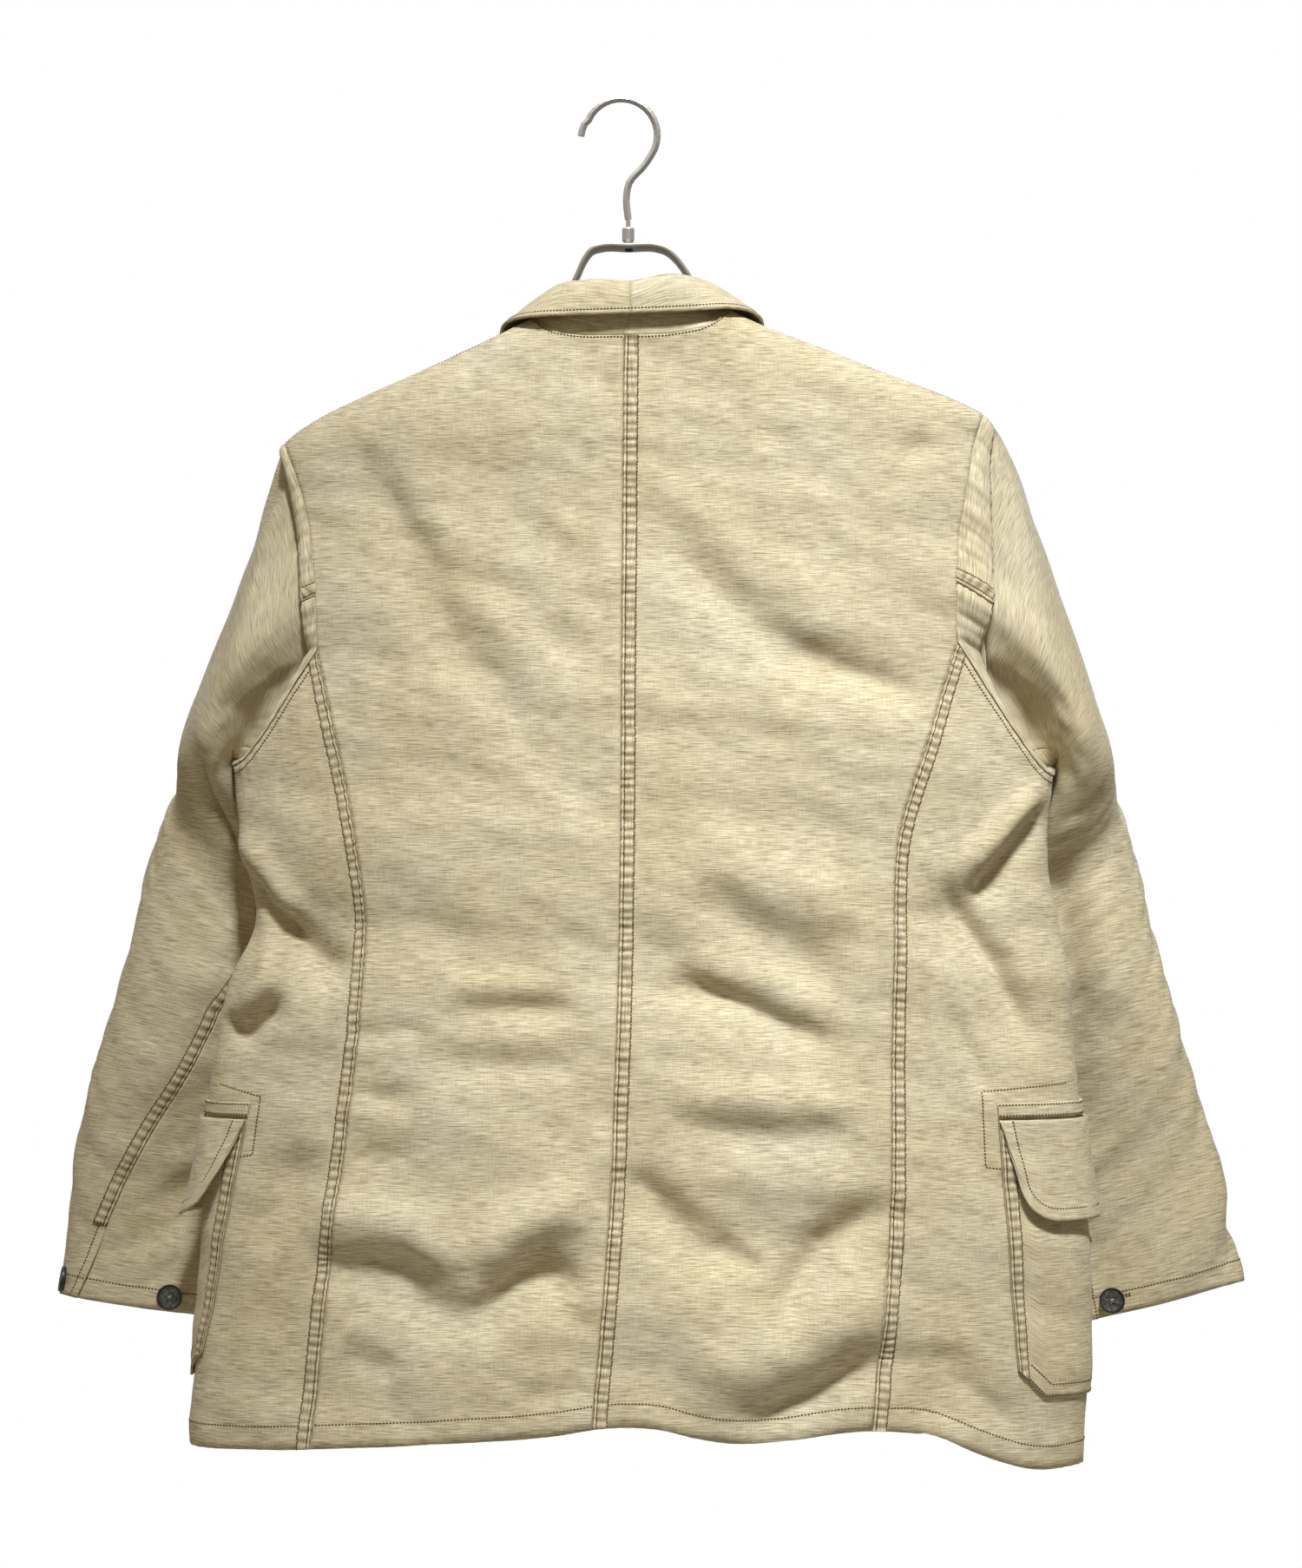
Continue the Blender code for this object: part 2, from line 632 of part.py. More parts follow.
def head_direction(side, around):
    """Direction in which each column leaves the armhole, between the four in the table."""
    leavings = (CROWN[side], HEAD["back"], HEAD["under"], HEAD["front"])
    crown, back, under, front = (np.array(leaving) * (SIDES[side], 1, 1) for leaving in leavings)
    around = around[:, None]
    middle = (crown + back + under + front) / 4
    swing = np.cos(around) * (crown - under) / 2 + np.sin(around) * (back - front) / 2
    pinch = np.cos(2 * around) * (crown + under - back - front) / 4
    return middle + swing + pinch


def sleeve(side):
    """Sleeve grid: a row per ring from armhole to cuff, a column per armhole point, closed round."""
    loop = armhole_loop(side)
    steps = np.linalg.norm(np.roll(loop, -1, axis=0) - loop, axis=1)
    around = 2 * np.pi * np.concatenate([[0], np.cumsum(steps)[:-1]]) / steps.sum()
    start = loop + (SIDES[side] * SLEEVE_START_GAP, 0, 0)
    start[:, 2] += UNDERARM_RISE * (1 - np.cos(around)) / 2
    sections = SLEEVE[side]
    rings = np.stack([start] + [sleeve_ring(section, side, around) for section in sections])
    knots = [0] + [section.along for section in sections]
    along = np.linspace(0, 1, SLEEVE_ROWS + 1)
    points = smooth(knots, rings, along, first_slope=head_direction(side, around))
    flat_x = SLEEVE_GIRTH * around / (2 * np.pi)
    height = fold_height(SLEEVE_FOLDS, *np.meshgrid(flat_x, -SLEEVE_LENGTH * along))
    closed = np.concatenate([points[:, -1:], points, points[:, :1]], axis=1)
    outward = SIDES[side] * normals(closed)[:, 1:-1]
    fade = np.clip(along / HEAD_SHARE, 0, 1)[:, None, None]
    return points + outward * height[..., None] * fade, outward


def around_columns(points, first, last):
    """Columns first to last of a closed grid, going on past its end where last is over its count."""
    return points[:, np.arange(first, last + 1) % points.shape[1]]


def sleeve_pieces(side):
    points, outward = sleeve(side)
    count = points.shape[1]
    upper = around_columns(points, FORE_COLUMN, HIND_COLUMN + count)
    under = around_columns(points, HIND_COLUMN, FORE_COLUMN)
    upper_out = around_columns(outward, FORE_COLUMN, HIND_COLUMN + count)
    upper = drawn_in(upper, first=True, last=True)
    along = np.linspace(0, SLEEVE_LENGTH, SLEEVE_ROWS + 1)
    past_top = along - SLEEVE_LENGTH + VENT_HEIGHT
    open_share = np.clip(past_top / VENT_OPENS_OVER, 0, 1)[:, None]
    over = units(under[:, 1] - under[:, 0])
    upper[:, -2] += open_share * VENT_LIFT / 2 * upper_out[:, -2]
    upper[:, -1] += open_share * (VENT_OVERLAP * over + VENT_LIFT * upper_out[:, -1])
    return upper, drawn_in(under, first=True, last=True)


# Collar


def lapel_sections(side):
    """Collar sections on the front: they turn over the roll line and lie on the panel."""
    sign = SIDES[side]
    neck = shoulder_line(side)[0]
    foot = np.array([front_edge_x(side), BREAK_Z])
    sections = []
    for lapel in LAPEL[side]:
        roll = neck + lapel.down * (foot - neck)
        over = overlap_lift(side, roll[0])
        places = []
        for share, rise in LAPEL_OVER:
            at = on_face(roll + (sign * share * LAPEL_TURN, 0), "front")
            places.append(at + (0, over + rise * lapel.stand_off, 0))
        for share in LAPEL_FLAT:
            at = on_face(roll + (sign * share * lapel.width, 0), "front")
            places.append(at + (0, overlap_lift(side, at[0]) + lapel.stand_off, 0))
        sections.append(places)
    return sections


def neck_sections(side):
    """Collar sections at the back of the neck, each standing on the neckline."""
    panel = back_panel(side)[:2, : NECK_COLUMNS + 1]
    neck = panel[0] + NECK_SEAM_GAP * units(panel[0] - panel[1])
    shares = np.linspace(0, 1, NECK_COLUMNS + 1)
    sections = []
    for row in COLLAR_BACK[side]:
        seam = [np.interp(row.share, shares, neck[:, axis]) for axis in range(3)]
        sections.append([seam, row.rise, row.roll, row.drop, row.edge])
    return sections


def collar_half(side):
    sections = np.array(neck_sections(side) + lapel_sections(side))
    lines = [spread(sections[:, k], COLLAR_ROWS) for k in range(sections.shape[1])]
    across = np.stack(lines, axis=1)
    points = np.stack([spread(row, COLLAR_COLUMNS) for row in across])
    points[0, :, 0] += SIDES[side] * COLLAR_SEAM_INSET
    return points


# Pockets


def side_grid(side, turn_z):
    points = body_point(turn_z[..., 0], turn_z[..., 1])
    return points, normals(points) * SIDES[side] * -1


def pocket_place(side, distance, z):
    """Place (turn, z) this far round the side from the pocket's back edge."""
    share = np.clip((POCKET_TOP - z) / POCKET_LENGTH, 0, 1)
    back_x = (1 - share) * POCKET_BACK_X[side][0] + share * POCKET_BACK_X[side][1]
    past = np.linspace(0, POCKET_SEARCH, POCKET_SEARCH_STEPS)
    turns = turn_at(back_x, z, "back") + SIDES[side] * past
    run = body_point(turns, np.full(turns.shape, z))
    length = np.concatenate([[0], np.cumsum(np.linalg.norm(np.diff(run, axis=0), axis=1))])
    return np.interp(distance, length, turns), z


def pocket_places(side, top_z, foot_z, rows, lean=0):
    """A grid of (turn, z) on the side; foot_z holds the lower end of each column."""
    distances = np.linspace(0, POCKET_WIDTH, len(foot_z))
    places = []
    for share in np.linspace(0, 1, rows + 1):
        heights = top_z + share * (np.asarray(foot_z) - top_z)
        places.append([pocket_place(side, d + share * lean, z) for d, z in zip(distances, heights)])
    return np.array(places)


def cut_corner(foot, size):
    """Lower ends of the pocket's columns, its back corner cut off."""
    distances = np.linspace(0, POCKET_WIDTH, POCKET_COLUMNS + 1)
    return foot + np.clip(size - distances, 0, None)


def pocket_patch(side):
    top = POCKET_TOP - WELT_HEIGHT - WELT_GAP
    places = pocket_places(side, top, cut_corner(POCKET_FOOT[side], POCKET_CORNER), POCKET_ROWS)
    points, outward = side_grid(side, places)
    return points + POCKET_STAND_OFF * outward


def welt(side):
    foot = cut_corner(POCKET_TOP - WELT_HEIGHT, 0)
    points, outward = side_grid(side, pocket_places(side, POCKET_TOP, foot, 1))
    return points + POCKET_STAND_OFF * outward


def flap(side):
    top = POCKET_TOP - WELT_HEIGHT - WELT_GAP
    foot = cut_corner(top - FLAP_HEIGHT, FLAP_CORNER)
    points, outward = side_grid(side, pocket_places(side, top, foot, FLAP_ROWS, FLAP_LEAN))
    share = np.linspace(0, 1, FLAP_ROWS + 1)[:, None, None]
    stand_off = FLAP_STAND_OFF + FLAP_FLARE[side] * share**FLAP_CURL
    return points + stand_off * outward


# Objects


def clear_scene():
    for obj in list(bpy.data.objects):
        bpy.data.objects.remove(obj)


def new_material(name, colour, metallic, roughness):
    material = bpy.data.materials.new(name)
    material.use_nodes = True
    shader = material.node_tree.nodes["Principled BSDF"]
    shader.inputs["Base Color"].default_value = (*colour, 1)
    shader.inputs["Metallic"].default_value = metallic
    shader.inputs["Roughness"].default_value = roughness
    return material


def add_object(name, data, material):
    obj = bpy.data.objects.new(name, data)
    obj.data.materials.append(material)
    bpy.data.collections[COLLECTION].objects.link(obj)
    return obj


def mesh_of(name, form):
    mesh = bpy.data.meshes.new(name)
    form.to_mesh(mesh)
    form.free()
    mesh.shade_smooth()
    return mesh


def cloth(name, grids, material, thickness=CLOTH):
    """A piece of cloth: grids of points that share edges, given a thickness outwards."""
    form = bmesh.new()
    for points in grids:
        rows, columns, _ = points.shape
        made = bmesh.ops.create_grid(form, x_segments=columns - 1, y_segments=rows - 1, size=1)
        for vertex, place in zip(made["verts"], points.reshape(-1, 3)):
            vertex.co = place
    bmesh.ops.remove_doubles(form, verts=form.verts, dist=WELD)
    piece = add_object(name, mesh_of(name, form), material)
    wall = piece.modifiers.new("thickness", "SOLIDIFY")
    wall.thickness = thickness
    wall.offset = 1
    return piece


def facing(points, reverse):
    """The grid with its columns turned so that its faces point outwards."""
    return points[:, ::-1] if reverse else points


def button(name, place, outward, material):
    form = bmesh.new()
    bmesh.ops.create_cone(
        form,
        cap_ends=True,
        segments=BUTTON_SIDES,
        radius1=BUTTON_RADIUS,
        radius2=BUTTON_RADIUS,
        depth=BUTTON_THICKNESS,
    )
    way = Vector(outward)
    rest = BUTTON_STAND_OFF + BUTTON_THICKNESS / 2
    turn = way.to_track_quat("Z", "Y").to_matrix().to_4x4()
    form.transform(Matrix.Translation(Vector(place) + rest * way) @ turn)
    piece = add_object(name, mesh_of(name, form), material)
    edge = piece.modifiers.new("edge", "BEVEL")
    edge.width = BUTTON_EDGE
    edge.segments = 1
    edge.limit_method = "ANGLE"
    return piece


def hook(material):
    angles = np.radians(np.linspace(*HOOK_ARC_DEGREES, HOOK_ARC_POINTS))
    arc_x = HOOK_ARC_X + HOOK_ARC_RADIUS * np.cos(angles)
    arc_z = HOOK_ARC_Z + HOOK_ARC_RADIUS * np.sin(angles)
    path = spread(HOOK_TIP + list(zip(arc_x, arc_z)) + HOOK_SWAN_NECK, HOOK_STEPS)
    curve = bpy.data.curves.new("hanger_hook", "CURVE")
    curve.dimensions = "3D"
    curve.bevel_depth = HOOK_WIRE_RADIUS
    curve.bevel_resolution = 2
    curve.use_fill_caps = True
    line = curve.splines.new("POLY")
    line.points.add(len(path) - 1)
    for point, (x, z) in zip(line.points, path):
        point.co = (x, 0, z, 1)
    return add_object("hanger_hook", curve, material)


def ferrule(material):
    form = bmesh.new()
    corners = [form.verts.new((radius, 0, z)) for radius, z in FERRULE]
    for above, below in zip(corners, corners[1:]):
        form.edges.new((above, below))
    piece = add_object("hanger_ferrule", mesh_of("hanger_ferrule", form), material)
    piece.location.x = STEM_X
    turned = piece.modifiers.new("turned", "SCREW")
    turned.steps = FERRULE_STEPS
    turned.render_steps = FERRULE_STEPS
    turned.use_merge_vertices = True
    turned.merge_threshold = WELD
    turned.use_smooth_shade = True
    return piece


def hanger_strip(material):
    """A flat strip on edge: handle loop at the neck, then an arm under each shoulder."""
    arms = {side: shoulder_line(side)[ARM_POINTS] - (0, ARM_DROP) for side in SIDES}
    middle = [tuple(p) for p in arms["left"][::-1]] + HANDLE + [tuple(p) for p in arms["right"]]
    path = spread(middle, STRIP_STEPS)
    along = units(np.gradient(path, axis=0))
    aside = np.stack([-along[:, 1], along[:, 0]], axis=-1) * STRIP_THICKNESS / 2
    outline = np.concatenate([path + aside, (path - aside)[::-1]])
    curve = bpy.data.curves.new("hanger_frame", "CURVE")
    curve.dimensions = "2D"
    curve.fill_mode = "BOTH"
    curve.extrude = STRIP_DEPTH / 2
    line = curve.splines.new("POLY")
    line.points.add(len(outline) - 1)
    for point, (x, z) in zip(line.points, outline):
        point.co = (x, z, 0, 1)
    line.use_cyclic_u = True
    piece = add_object("hanger_frame", curve, material)
    piece.rotation_euler.x = math.pi / 2
    return piece


def body_pieces(side, material):
    reverse = side == "right"
    back = drawn_in(back_panel(side), first=True, last=True, top=True)
    cloth(f"back_{side}", [facing(back, reverse)], material)
    flat = side_part(side)
    beside = drawn_in(body_point(flat[..., 0], flat[..., 1]), first=True)
    front = drawn_in(front_panel(side), top=True)
    cloth(f"front_{side}", [facing(beside, reverse), facing(front, reverse)], material)


def trim_pieces(side, material):
    reverse = side == "right"
    cloth(f"pocket_{side}", [facing(pocket_patch(side), reverse)], material)
    cloth(f"pocket_welt_{side}", [facing(welt(side), reverse)], material)
    cloth(f"pocket_flap_{side}", [facing(flap(side), reverse)], material)
    cloth(f"collar_{side}", [facing(collar_half(side), not reverse)], material, COLLAR_CLOTH)


def cuff_spot(rows, from_vent, away):
    """A place near the cuff and its outward way; rows are the cuff's two last, from the vent on."""
    length = np.concatenate([[0], np.cumsum(np.linalg.norm(np.diff(rows[0], axis=0), axis=1))])
    low = np.searchsorted(length, from_vent) - 1
    part = (from_vent - length[low]) / (length[low + 1] - length[low])
    foot, above = (row[low] + part * (row[low + 1] - row[low]) for row in rows)
    up = units(above - foot)
    outward = units(np.cross(rows[0][low + 1] - rows[0][low], up))
    return foot + CUFF_BUTTON_UP * up, outward * np.sign(outward @ (foot - away))


def sleeve_solids(side, cloth_material, button_material):
    reverse = side == "left"
    upper, under = sleeve_pieces(side)
    cloth(f"upper_sleeve_{side}", [facing(upper, reverse)], cloth_material)
    cloth(f"under_sleeve_{side}", [facing(under, reverse)], cloth_material)
    middle = np.concatenate([upper[-1], under[-1]]).mean(axis=0)
    edges = (upper[:-3:-1, ::-1], under[:-3:-1])
    for number, (rows, from_vent) in enumerate(zip(edges, CUFF_BUTTON_FROM_VENT), start=1):
        place, outward = cuff_spot(rows, from_vent, middle)
        button(f"cuff_button_{side}_{number}", place + CLOTH * outward, outward, button_material)


def front_buttons(material):
    for number, z in enumerate(BUTTON_Z, start=1):
        place = on_face(np.array([CENTRE_FRONT_X, z]), "front")
        rest = place + (0, OVERLAP_LIFT + CLOTH, 0)
        button(f"front_button_{number}", rest, (0, 1, 0), material)


def main():
    clear_scene()
    jacket = bpy.data.collections.new(COLLECTION)
    bpy.context.scene.collection.children.link(jacket)
    cotton = new_material("khaki_cotton", (0.56, 0.47, 0.27), 0, 0.9)
    horn = new_material("button_grey", (0.09, 0.09, 0.08), 0, 0.5)
    nickel = new_material("satin_nickel", (0.60, 0.56, 0.50), 1, 0.3)
    for side in SIDES:
        body_pieces(side, cotton)
        trim_pieces(side, cotton)
        sleeve_solids(side, cotton, horn)
    front_buttons(horn)
    hook(nickel)
    ferrule(nickel)
    hanger_strip(nickel)


main()
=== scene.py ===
# %% [markdown]
# # A coverall jacket on a hanger
# This lesson dresses a packed jacket, seen from behind, in cloth that looks sewn and worn.
# Each cut piece is a thin shell on the same form as its solid, with finer creases laid in. The
# felled seams, stitches and buttons then sit on those shells.

# %% Load the imported solids
import math
from collections import namedtuple

import bpy
import numpy as np
from mathutils import Matrix, Vector


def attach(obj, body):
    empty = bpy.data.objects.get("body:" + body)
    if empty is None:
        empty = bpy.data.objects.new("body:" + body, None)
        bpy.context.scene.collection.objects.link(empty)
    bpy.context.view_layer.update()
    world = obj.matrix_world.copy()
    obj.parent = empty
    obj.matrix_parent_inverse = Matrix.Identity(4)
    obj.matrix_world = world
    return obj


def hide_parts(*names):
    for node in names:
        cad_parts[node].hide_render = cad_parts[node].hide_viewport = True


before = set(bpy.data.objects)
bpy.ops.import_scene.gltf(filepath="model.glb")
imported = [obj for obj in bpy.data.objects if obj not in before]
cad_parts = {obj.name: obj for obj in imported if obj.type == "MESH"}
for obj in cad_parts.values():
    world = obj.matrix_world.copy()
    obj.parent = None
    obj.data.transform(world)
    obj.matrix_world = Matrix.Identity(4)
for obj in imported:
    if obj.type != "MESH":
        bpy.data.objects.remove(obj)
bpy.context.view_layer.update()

bpy.ops.object.select_all(action="DESELECT")
print("nodes:", ", ".join(sorted(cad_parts)))

# %% [markdown]
# ## Curves and patches
# A pattern cutter draws a few points and joins them with smooth curves. These helpers do the
# same: one reads a smooth curve, one sets even steps along it, and one fills the space between
# four edges with a grid, which is how each panel starts.

# %% Curves and patches
CURVE_SAMPLES = 40
FULL_TURN = 2 * math.pi


def smooth(knots, values, at, first_slope=None):
    """Reads, at the given places, a smooth curve through values at rising knots."""
    knots = np.asarray(knots, float)
    values = np.asarray(values, float)
    slopes = np.gradient(values, knots, axis=0)
    if first_slope is not None:
        slopes[0] = first_slope
    at = np.asarray(at, float)
    low = np.clip(np.searchsorted(knots, at, side="right") - 1, 0, len(knots) - 2)
    extra = (1,) * (values.ndim - 1)
    span = (knots[low + 1] - knots[low]).reshape(at.shape + extra)
    t = ((at - knots[low]).reshape(at.shape + extra)) / span
    start = (2 * t**3 - 3 * t**2 + 1) * values[low] + (t**3 - 2 * t**2 + t) * span * slopes[low]
    end = (3 * t**2 - 2 * t**3) * values[low + 1] + (t**3 - t**2) * span * slopes[low + 1]
    return start + end


def lengths(points):
    """Distance along a run of points, from 0 at the first."""
    return np.concatenate([[0], np.cumsum(np.linalg.norm(np.diff(points, axis=0), axis=1))])


def read_along(rows, run, at):
    """Rows kept at distances along a run, read at other distances."""
    return np.stack([np.interp(at, run, column) for column in rows.T], axis=-1)


def read_run(points, at):
    """Points of a run at the given distances along it."""
    return read_along(points, lengths(points), at)


def spread(points, count):
    """Points at even steps, count steps in all, along a smooth curve through the given points."""
    points = np.asarray(points, float)
    knots = lengths(points)
    fine = smooth(knots, points, np.linspace(0, knots[-1], CURVE_SAMPLES * len(points)))
    return read_run(fine, np.linspace(0, lengths(fine)[-1], count + 1))


def joined(*runs):
    """One run of points from several that share their end points."""
    return np.concatenate([runs[0]] + [run[1:] for run in runs[1:]])


def patch(top, bottom, first, last):
    """Grid of points between four edges: rows from top to bottom, columns from first to last."""
    down = np.linspace(0, 1, len(first))[:, None, None]
    across = np.linspace(0, 1, len(top))[None, :, None]
    between_ends = (1 - down) * top[None] + down * bottom[None]
    between_sides = (1 - across) * first[:, None] + across * last[:, None]
    top_line = (1 - across) * top[0] + across * top[-1]
    bottom_line = (1 - across) * bottom[0] + across * bottom[-1]
    return between_ends + between_sides - (1 - down) * top_line - down * bottom_line


def eased(share):
    """0 to 1 as the share goes from 0 to 1, level at both ends."""
    share = np.clip(share, 0, 1)
    return share**2 * (3 - 2 * share)


def units(vectors):
    return vectors / np.maximum(np.linalg.norm(vectors, axis=-1, keepdims=True), 1e-12)


def normals(points):
    """Directions square to a grid of points."""
    return units(np.cross(np.gradient(points, axis=1), np.gradient(points, axis=0)))


def turned(grid):
    """The grid with rows and columns changed over."""
    return grid.transpose(1, 0, 2)


def upturned(grid):
    """The grid with its last row as first column."""
    return turned(grid[::-1])


def runs_across(points):
    """Distance of each grid point along its row, from 0 at the first column."""
    steps = np.linalg.norm(np.diff(points, axis=1), axis=2)
    return np.concatenate([np.zeros((len(points), 1)), np.cumsum(steps, axis=1)], axis=1)


# %% [markdown]
# ## The hung form
# The jacket hangs flat over a thin hanger, so its body is a wide, shallow tube. A table gives
# the side edges and depths at a few heights. A turn round the tube and a height then name any
# place on it, so that panels, pockets and seams can all be set on one shared form.

# %% The hung form
CLOTH = 0.0014
COLLAR_CLOTH = 0.0020
SIDES = {"left": -1.0, "right": 1.0}
ARMHOLE_ROWS = 72
LOWER_ROWS = 180
NECK_COLUMNS = 22
SHOULDER_COLUMNS = 54
SIDE_COLUMNS = 72
SHOULDER_SAMPLES = 9

BLUNTNESS = 3.0
RIDGE_Y = 0.0
BodySection = namedtuple("BodySection", "z left right back front")
BODY = [
    BodySection(-0.1400, -0.037, 0.052, 0.044, 0.040),
    BodySection(-0.1600, -0.073, 0.096, 0.045, 0.042),
    BodySection(-0.1776, -0.110, 0.142, 0.046, 0.044),
    BodySection(-0.1962, -0.149, 0.189, 0.047, 0.046),
    BodySection(-0.2144, -0.190, 0.236, 0.047, 0.048),
    BodySection(-0.2256, -0.213, 0.258, 0.047, 0.049),
    BodySection(-0.2444, -0.240, 0.264, 0.047, 0.050),
    BodySection(-0.3000, -0.250, 0.271, 0.049, 0.053),
    BodySection(-0.3850, -0.262, 0.286, 0.051, 0.056),
    BodySection(-0.4750, -0.276, 0.304, 0.052, 0.058),
    BodySection(-0.5450, -0.267, 0.301, 0.050, 0.057),
    BodySection(-0.5840, -0.261, 0.309, 0.048, 0.056),
    BodySection(-0.6300, -0.279, 0.317, 0.048, 0.056),
    BodySection(-0.6800, -0.291, 0.321, 0.050, 0.057),
    BodySection(-0.7950, -0.296, 0.328, 0.053, 0.058),
    BodySection(-0.8820, -0.303, 0.330, 0.056, 0.059),
    BodySection(-0.9900, -0.309, 0.325, 0.058, 0.060),
]


def body_at(z):
    """Left edge, right edge, back depth and front depth of the body at heights z."""
    rows = np.array(BODY)
    read = smooth(-rows[:, 0], rows[:, 1:], -np.asarray(z, float))
    return [read[..., column] for column in range(4)]


def turn_at(x, z, face):
    """Turn round the body, 0 at centre back and pi at centre front, of a place on one face."""
    left, right, _, _ = body_at(z)
    share = np.clip((2 * x - left - right) / (right - left), -1, 1)
    back_turn = np.arcsin(np.sign(share) * np.abs(share) ** (BLUNTNESS / 2))
    return back_turn if face == "back" else np.sign(share) * np.pi - back_turn


def bare_body(turn, z):
    """Points of the form before any fold, the way out from it, and its reach from the ridge."""
    left, right, back, front = body_at(z)
    share = np.sign(np.sin(turn)) * np.abs(np.sin(turn)) ** (2 / BLUNTNESS)
    reach = np.abs(np.cos(turn)) ** (2 / BLUNTNESS)
    half = (right - left) / 2
    depth = np.where(np.cos(turn) > 0, -back, front)
    points = np.stack([(left + right) / 2 + share * half, depth * reach, z], axis=-1)
    out_x = np.sign(share) * np.abs(share) ** (BLUNTNESS - 1) / half
    out_y = reach ** (BLUNTNESS - 1) / depth
    return points, units(np.stack([out_x, out_y, np.zeros(np.shape(z))], axis=-1)), reach


# %% [markdown]
# ## Folds and creases
# Cloth that hangs from the shoulders drops in long troughs, and cloth that was packed keeps
# sharp creases. Each is a path with a width and a height: ridges stand out and troughs sink in.
# A sum of soft waves adds the small unevenness that no path describes.

# %% Folds and creases
Fold = namedtuple("Fold", "width height path")
BACK_FOLDS = [
    Fold(0.020, -0.0072, [(-0.222, -0.205), (-0.131, -0.357), (-0.090, -0.424), (-0.005, -0.520)]),
    Fold(0.022, 0.0046, [(-0.175, -0.242), (-0.132, -0.302), (-0.096, -0.351), (-0.047, -0.418)]),
    Fold(0.016, -0.0050, [(-0.132, -0.321), (-0.096, -0.348), (-0.059, -0.378), (-0.014, -0.412)]),
    Fold(0.014, -0.0030, [(-0.084, -0.296), (-0.047, -0.321), (-0.008, -0.342)]),
    Fold(0.018, -0.0060, [(0.000, -0.280), (0.087, -0.366), (0.123, -0.395), (0.240, -0.440)]),
    Fold(0.020, 0.0040, [(0.032, -0.278), (0.081, -0.327), (0.129, -0.363), (0.184, -0.391)]),
    Fold(0.014, -0.0030, [(0.105, -0.254), (0.148, -0.278), (0.178, -0.305)]),
    Fold(0.020, -0.0060, [(0.035, -0.552), (0.081, -0.581), (0.123, -0.602), (0.175, -0.628)]),
    Fold(0.024, 0.0045, [(0.044, -0.518), (0.111, -0.558), (0.172, -0.588)]),
    Fold(0.013, -0.0062, [(0.010, -0.622), (0.075, -0.641), (0.114, -0.659), (0.166, -0.678)]),
    Fold(0.012, 0.0040, [(0.023, -0.604), (0.081, -0.620), (0.123, -0.637), (0.175, -0.656)]),
    Fold(0.016, 0.0052, [(0.010, -0.704), (0.099, -0.709), (0.181, -0.710)]),
    Fold(0.014, -0.0040, [(0.038, -0.731), (0.111, -0.734), (0.178, -0.733)]),
    Fold(0.016, -0.0120, [(-0.008, -0.740), (0.026, -0.783), (0.053, -0.811), (0.099, -0.835)]),
    Fold(0.015, -0.0135, [(0.200, -0.770), (0.141, -0.810), (0.121, -0.844), (0.114, -0.890)]),
    Fold(0.026, 0.0150, [(0.205, -0.830), (0.123, -0.877), (0.081, -0.895), (0.030, -0.905)]),
    Fold(0.015, -0.0130, [(0.205, -0.874), (0.138, -0.914), (0.070, -0.940)]),
    Fold(0.012, -0.0046, [(-0.135, -0.648), (-0.071, -0.647), (-0.023, -0.644)]),
    Fold(0.012, 0.0030, [(-0.135, -0.630), (-0.071, -0.628), (-0.020, -0.624)]),
    Fold(0.012, -0.0040, [(-0.150, -0.683), (-0.084, -0.684), (-0.008, -0.682)]),
    Fold(0.018, 0.0120, [(-0.235, -0.788), (-0.150, -0.796), (-0.105, -0.831)]),
    Fold(0.018, 0.0120, [(-0.120, -0.838), (-0.085, -0.805), (-0.062, -0.790), (-0.010, -0.770)]),
    Fold(0.017, -0.0165, [(-0.235, -0.822), (-0.157, -0.835), (-0.100, -0.880)]),
    Fold(0.017, -0.0165, [(-0.120, -0.880), (-0.085, -0.850), (-0.056, -0.831), (-0.015, -0.845)]),
    Fold(0.016, -0.0120, [(-0.219, -0.734), (-0.241, -0.783), (-0.260, -0.822)]),
    Fold(0.014, 0.0110, [(0.308, -0.479), (0.230, -0.566)]),
    Fold(0.018, -0.0120, [(0.298, -0.521), (0.232, -0.579), (0.259, -0.628), (0.292, -0.696)]),
    Fold(0.026, -0.0110, [(0.219, -0.947), (0.223, -0.873)]),
]
FRONT_FOLDS = [
    Fold(0.022, -0.0070, [(-0.190, -0.260), (-0.120, -0.380)]),
    Fold(0.022, -0.0070, [(0.200, -0.250), (0.130, -0.380)]),
    Fold(0.026, -0.0080, [(-0.180, -0.620), (-0.060, -0.660)]),
    Fold(0.026, -0.0080, [(0.190, -0.610), (0.070, -0.655)]),
    Fold(0.028, 0.0060, [(-0.140, -0.950), (-0.120, -0.800)]),
    Fold(0.028, 0.0060, [(0.130, -0.950), (0.120, -0.800)]),
]
